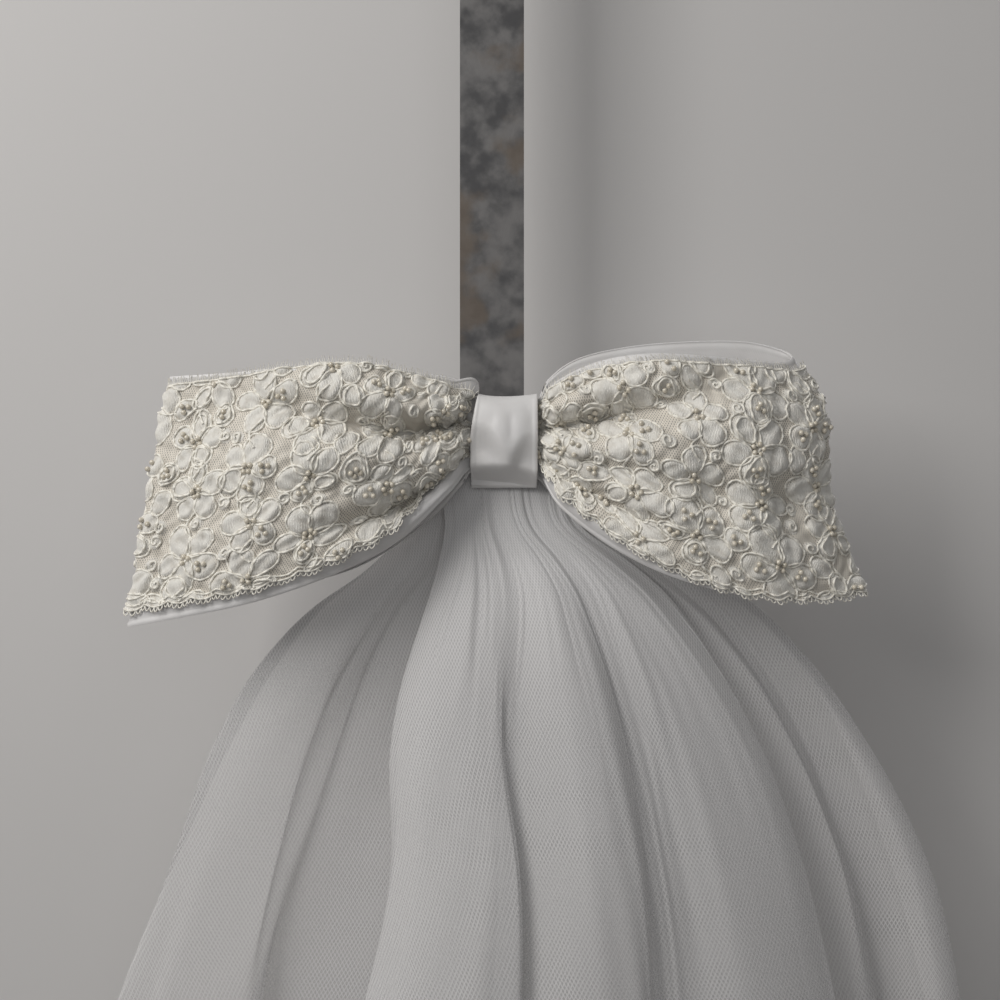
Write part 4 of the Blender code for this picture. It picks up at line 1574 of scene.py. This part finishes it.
@dataclass
class VeilTier:
    """One gathered tier of tulle, laid double, with folds that turn back over themselves."""

    node: str
    space: ClothSpace
    material: bpy.types.Material
    sections: Rows
    folds: Rows
    flat: tuple[float, float]
    columns: int = 300
    rows: int = 100
    corner_rise: float = 0.13
    swell_lean: float = 0.8
    plies: int = 2
    ply_shift: float = 0.45
    ply_gap: float = 1.3
    # How far the second ply's gathers, creases and threads are turned or moved from the first one's.
    ply_turn: float = 2.1
    ply_crease_turn: float = 1.9
    ply_thread_shift: float = 0.37
    # How close the plies lie, and how deep a fold is, where the folds haven't opened or don't lap.
    least_gap: float = 0.3
    least_fold: float = 0.45
    map_drop: float = 168.0
    map_pinch: float = 0.35
    # How far the folds drift aside down the cloth. Columns: sway, drop of one radian, turn across, phase.
    drifts: Rows = ((0.30, 58.0, 4.0, 0.0), (0.22, 131.0, 9.0, 1.0))
    # How far a fold laps over itself: middle, change, drop of one radian, turn across, phase.
    lap: tuple[float, ...] = (0.60, 0.60, 71.0, 11.0, 0.8)
    # Patches in the gathers: middle, change, how many across, turn a ply, drop of one radian.
    patches: tuple[float, ...] = (0.60, 0.40, 3.3, 1.9, 19.0)
    # How the gathers bend: sway, drop of one radian, turn across.
    bend: tuple[float, float, float] = (0.006, 11.0, 9.0)
    gather_depth: float = 0.46
    # Fine gathers. Columns: how many, share of the gathers' depth, phase.
    gathers: Rows = ((7.0, 0.80, 0.0), (12.0, 0.55, 1.1), (21.0, 0.26, 2.3), (37.0, 0.09, 0.4))
    # Soft creases that come and go down the cloth. Columns: how many, depth, phase, sway.
    creases: Rows = ((9.0, 0.8, 0.7, 0.020), (16.0, 0.5, 2.9, 0.014), (29.0, 0.25, 1.3, 0.008))
    # The drops of one radian of the creases' bend and of where they show, and the latter's turn across.
    crease_falls: tuple[float, float] = (61.0, 83.0)
    crease_turn: float = 7.0

    def surface(self, u: Array, w: Array, ply: int) -> Array:
        """Points on one ply of the tier.

        Args:
            u: Shares of the cloth's width, from left to right.
            w: Shares from the gathers to the hem.
            ply: 0 for the front ply and 1 for the one behind it.

        Returns:
            Cloth points in millimetres.
        """
        drops = column(self.sections, 0)
        drop = curve(np.arange(len(drops)), drops, w * (len(drops) - 1))
        drop = drop - self.corner_rise * np.abs(2 * u - 1) ** 4 * np.maximum(drop, 0.0) ** 2 / drops[-1]
        left, right, depth, swell, growth, gather = (
            curve(drops, column(self.sections, k), drop) for k in range(1, 7)
        )
        keys = np.arange(len(self.folds))
        settled = np.clip(growth, 0.0, 1.0)
        inner = 1 - np.abs(2 * u - 1) ** 5
        drift = sum(sway * np.sin(drop / fall + turn * u + phase) for sway, fall, turn, phase in self.drifts)
        at = u * (len(keys) - 1) + inner * settled * (drift - self.ply_shift * ply)
        turned = curve(keys, column(self.folds, 0), at)
        opened = curve(keys, np.sort(column(self.folds, 0)), at)
        middle, change, fall, turn, phase = self.lap
        overlap = middle + change * np.sin(drop / fall + turn * u + phase)
        across = u + (opened + (turned - opened) * overlap - u) * settled
        deep = self.least_fold + (1 - self.least_fold) * np.clip(overlap, 0.0, 1.0)
        forward = curve(keys, column(self.folds, 1), at) * growth * deep
        middle, change, count, turn, fall = self.patches
        patchy = middle + change * np.sin(2 * math.pi * count * u + turn * ply + drop / fall)
        sway, fall, turn = self.bend
        for count, share, phase in self.gathers:
            bent = u + sway * np.sin(drop / fall + turn * u + phase)
            wave = np.sin(2 * math.pi * count * bent + phase + self.ply_turn * ply)
            forward += self.gather_depth * gather * share * patchy * wave
        bend_fall, show_fall = self.crease_falls
        for count, deep, phase, sway in self.creases:
            bent = u + sway * np.sin(drop / bend_fall + phase)
            shown = np.clip(np.sin(drop / show_fall + self.crease_turn * u + phase + ply), 0.0, 1.0)
            wave = np.sin(2 * math.pi * count * bent + phase + self.ply_crease_turn * ply)
            forward += deep * settled * shown * wave
        forward += swell * np.sin(math.pi * np.clip(across, 0.0, 1.0) ** self.swell_lean)
        apart = self.least_gap + (1 - self.least_gap) * settled
        forward += apart * self.ply_gap * (0.5 - ply)
        return np.stack((left + (right - left) * across, depth + forward, -drop), axis=-1)

    def make(self) -> None:
        """Makes the tier, with all its plies."""
        parts = MeshParts()
        u, w = np.meshgrid(
            np.linspace(0.0, 1.0, self.columns), np.linspace(0.0, 1.0, self.rows), indexing="ij"
        )
        for ply in range(self.plies):
            points = self.surface(u, w, ply)
            widths = np.stack([path_length(points[:, row]) for row in range(self.rows)], axis=1)
            widths -= widths[self.columns // 2]
            total = np.ptp(widths, axis=0)
            measured = int(np.argmin(np.abs(points[self.columns // 2, :, 2] + self.map_drop)))
            widths *= (total[measured] / total) ** self.map_pinch
            down = np.broadcast_to(path_length(points[self.columns // 2]), widths.shape)
            cloth = np.stack((widths, down), axis=-1) + ply * self.ply_thread_shift
            parts.add(
                self.space.metres(points).reshape(-1, 3),
                grid_faces(self.columns, self.rows, True),
                cloth.reshape(-1, 2) * MM,
            )
        piece = parts.build(f"tulle_{self.node}")
        dress(piece, self.material, "tulle", self.node)


# Columns: drop below the knot, left edge, right edge, depth, swell of the middle, share of the folds'
# full depth, depth of the fine gathers.
BACK_SECTIONS: Rows = (
    (-14.0, -34.0, 34.0, 16.95, 0.0, 0.00, 1.05),
    (16.0, -38.0, 40.0, 16.30, 0.0, 0.04, 1.05),
    (36.0, -44.0, 56.0, 15.60, 0.0, 0.16, 1.20),
    (52.0, -58.0, 84.0, 14.60, 0.0, 0.42, 1.50),
    (68.0, -80.0, 108.0, 13.50, 0.0, 0.64, 1.60),
    (90.0, -101.0, 129.0, 12.50, 0.0, 0.82, 1.40),
    (125.0, -123.0, 152.0, 12.50, 0.0, 0.94, 0.90),
    (168.0, -141.0, 172.0, 14.00, 0.0, 1.00, 0.20),
    (250.0, -167.0, 190.0, 18.00, 0.0, 1.20, 0.00),
    (350.0, -190.0, 205.0, 22.00, 0.0, 1.35, 0.00),
    (480.0, -209.0, 218.0, 26.00, 0.0, 1.45, 0.00),
    (620.0, -223.0, 230.0, 28.50, 0.0, 1.55, 0.00),
    (748.0, -232.0, 238.0, 30.00, 0.0, 1.60, 0.00),
)
FRONT_SECTIONS: Rows = (
    (-14.0, -29.0, 29.0, 20.55, 0.0, 0.00, 1.05),
    (16.0, -26.5, 27.0, 20.60, 0.0, 0.03, 1.05),
    (36.0, -24.5, 33.0, 20.90, 1.0, 0.08, 1.20),
    (48.0, -27.0, 50.0, 21.30, 3.0, 0.14, 1.40),
    (60.0, -31.0, 65.0, 22.40, 7.0, 0.26, 1.50),
    (75.0, -37.0, 78.0, 23.80, 12.0, 0.40, 1.50),
    (97.0, -44.0, 93.0, 25.60, 18.0, 0.60, 1.40),
    (125.0, -49.0, 107.0, 28.20, 23.0, 0.80, 1.00),
    (167.0, -49.0, 119.0, 32.50, 26.0, 1.00, 0.40),
    (240.0, -60.0, 134.0, 37.50, 26.0, 1.10, 0.10),
    (330.0, -78.0, 145.0, 43.50, 24.0, 1.20, 0.00),
    (415.0, -94.0, 152.0, 47.50, 22.0, 1.25, 0.00),
    (494.0, -106.0, 156.0, 50.00, 20.0, 1.30, 0.00),
)
# The path of the cloth from left to right. Columns: share across the tier, how far forward.
BACK_FOLDS: Rows = (
    (0.040, -5.0), (0.000, -1.0), (0.070, 4.0), (0.150, 6.5), (0.195, 3.0), (0.155, -3.0), (0.200, -6.0),
    (0.270, -5.0), (0.360, 3.0), (0.430, 6.0), (0.470, 0.0), (0.440, -5.0), (0.520, -5.0), (0.600, 4.0),
    (0.680, 5.0), (0.700, -1.0), (0.660, -5.0), (0.750, -5.0), (0.830, 4.0), (0.885, 6.5), (0.910, 1.0),
    (0.885, -4.5), (0.935, -4.5), (0.975, 4.0), (1.000, -0.5), (0.965, -5.0),
)
FRONT_FOLDS: Rows = (
    (0.050, -7.0), (0.000, 0.0), (0.100, 5.0), (0.230, 5.5), (0.330, 1.5), (0.285, -4.5), (0.360, -5.0),
    (0.470, 4.0), (0.585, 6.5), (0.645, 1.0), (0.600, -4.0), (0.690, -3.5), (0.800, 5.0), (0.930, 4.5),
    (1.000, -1.0), (0.955, -7.5),
)


@dataclass(frozen=True)
class Backdrop(Finish):
    """A plain pale wall or floor. The wall is clear from behind, so the veil's back can be seen and lit."""

    one_sided: bool

    def paint(self, shader: Shader) -> dict[str, object]:
        """The surface's inputs."""
        return {"Base Color": self.colour, "Roughness": 0.7}

    def build(self) -> bpy.types.Material:
        """Builds the material, and clears a wall from behind and for shadows.

        Returns:
            The new material.
        """
        material = super().build()
        if self.one_sided:
            shader, nodes = Shader(material.node_tree), material.node_tree.nodes
            behind = shader.node("ShaderNodeNewGeometry").outputs["Backfacing"]
            shadow = shader.node("ShaderNodeLightPath").outputs["Is Shadow Ray"]
            given = {
                0: shader.math("MAXIMUM", behind, shadow),
                1: nodes["Principled BSDF"].outputs[0],
                2: shader.node("ShaderNodeBsdfTransparent").outputs[0],
            }
            blend = shader.fed("ShaderNodeMixShader", given)
            shader.give(blend.outputs[0], nodes["Material Output"].inputs["Surface"])
        return material


@dataclass
class Studio:
    """The camera, the lights, the pale wall and the floor."""

    space: ClothSpace
    pixel: float = 0.0004
    frame_pixels: int = 1000
    knot_pixel: tuple[int, int] = (504, 440)
    distance: float = 0.72
    bow_plane: float = 39.0
    sensor: float = 36.0
    wall_gap: float = 0.0015
    floor_drop: float = 0.25
    plane_size: float = 5.0
    # Columns: name, place from the knot, width and height, energy, colour.
    lights: tuple[tuple, ...] = (
        ("key", (-0.81, -0.80, 0.70), (0.62, 1.00), 12.8, (1.0, 0.99, 0.975)),
        ("fill", (0.0, -1.05, 0.20), (0.9, 0.9), 1.4, (0.98, 0.99, 1.0)),
        ("back", (0.45, 1.00, 0.55), (0.9, 0.9), 6.0, (0.98, 0.99, 1.0)),
    )
    sky: Colour = (0.92, 0.93, 0.95)
    sky_strength: float = 0.17

    def make_camera(self) -> None:
        """The camera: level, straight on, and framed as the photograph is."""
        data = bpy.data.cameras.new("camera")
        data.sensor_width = self.sensor
        data.lens = self.sensor * self.distance / (self.pixel * self.frame_pixels)
        camera = bpy.data.objects.new("camera", data)
        middle = self.frame_pixels / 2
        x = self.space.knot_across + (middle - self.knot_pixel[0]) * self.pixel
        z = self.space.knot_height - (middle - self.knot_pixel[1]) * self.pixel
        camera.location = (x, self.space.strap_front - self.bow_plane * MM - self.distance, z)
        camera.rotation_euler = (math.pi / 2, 0.0, 0.0)
        bpy.context.scene.collection.objects.link(camera)
        bpy.context.scene.camera = camera

    def make_lights(self) -> None:
        """A tall soft key from above and the left, a weak fill, one light behind, and a pale surround."""
        knot = np.array((self.space.knot_across, self.space.strap_front, self.space.knot_height))
        for name, offset, size, energy, colour in self.lights:
            data = bpy.data.lights.new(name, "AREA")
            data.shape = "RECTANGLE"
            data.size, data.size_y = size
            data.energy, data.color = energy, colour
            light = bpy.data.objects.new(name, data)
            light.location = knot + np.array(offset)
            x, y, z = offset
            tilt, turn = math.atan2(math.hypot(x, y), z), math.atan2(-y, -x) - math.pi / 2
            light.rotation_euler = (tilt, 0.0, turn)
            bpy.context.scene.collection.objects.link(light)
        world = bpy.data.worlds.new("studio")
        world.use_nodes = True
        colour, strength = world.node_tree.nodes["Background"].inputs[:2]
        colour.default_value, strength.default_value = (*self.sky, 1.0), self.sky_strength
        bpy.context.scene.world = world

    def make_stage(self) -> None:
        """The wall behind the hanger and the floor under the veil."""
        low, _ = CAD_BOX
        _, hanger_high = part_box("hanger")
        wall_y = hanger_high[1] + self.wall_gap
        floor_z = low[2] - self.floor_drop
        half = self.plane_size / 2
        wall_paint = Backdrop("pale_wall", (0.60, 0.583, 0.57), True)
        floor_paint = Backdrop("pale_floor", (0.40, 0.39, 0.38), False)
        for name, place, tilt, paint in (
            ("wall", (0.0, wall_y, floor_z + half), math.pi / 2, wall_paint),
            ("floor", (0.0, wall_y - half, floor_z), 0.0, floor_paint),
        ):
            bpy.ops.mesh.primitive_plane_add(size=self.plane_size)
            plane = bpy.context.object
            plane.name = name
            plane.location = place
            plane.rotation_euler = (tilt, 0.0, 0.0)
            plane.data.materials.append(paint.build())

    def make(self) -> None:
        """Sets up the whole studio."""
        self.make_camera()
        self.make_lights()
        self.make_stage()
        bpy.context.scene.view_settings.view_transform = "Standard"
        cycles = bpy.context.scene.cycles
        cycles.transparent_max_bounces = 14
        cycles.max_bounces = 4
        cycles.diffuse_bounces = 2


def dress_solids(finishes: Finishes) -> None:
    """Gives the solids that stay their finishes.

    Args:
        finishes: The materials.
    """
    for node, material in (("hanger", finishes.metal), ("comb", finishes.comb)):
        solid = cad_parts[node]
        for slot in solid.material_slots:
            slot.material = material
        log.info("%s keeps its solid", node)


def main() -> None:
    """Builds the studio and every piece of the veil, in order."""
    logging.basicConfig(level=logging.INFO, format="%(name)s: %(message)s")
    space = ClothSpace.from_frame()
    Studio(space).make()
    finishes = Finishes.build()
    for side in Side:
        BowLoop(side, space, finishes).make()
    KnotBand(space, finishes.satin).make()
    VeilTier("veil_front", space, finishes.front_tulle, FRONT_SECTIONS, FRONT_FOLDS, (0.58, 0.51)).make()
    VeilTier("veil_back", space, finishes.shaded_back_tulle, BACK_SECTIONS, BACK_FOLDS, (1.05, 0.76)).make()
    dress_solids(finishes)


if __name__ == "__main__":
    main()
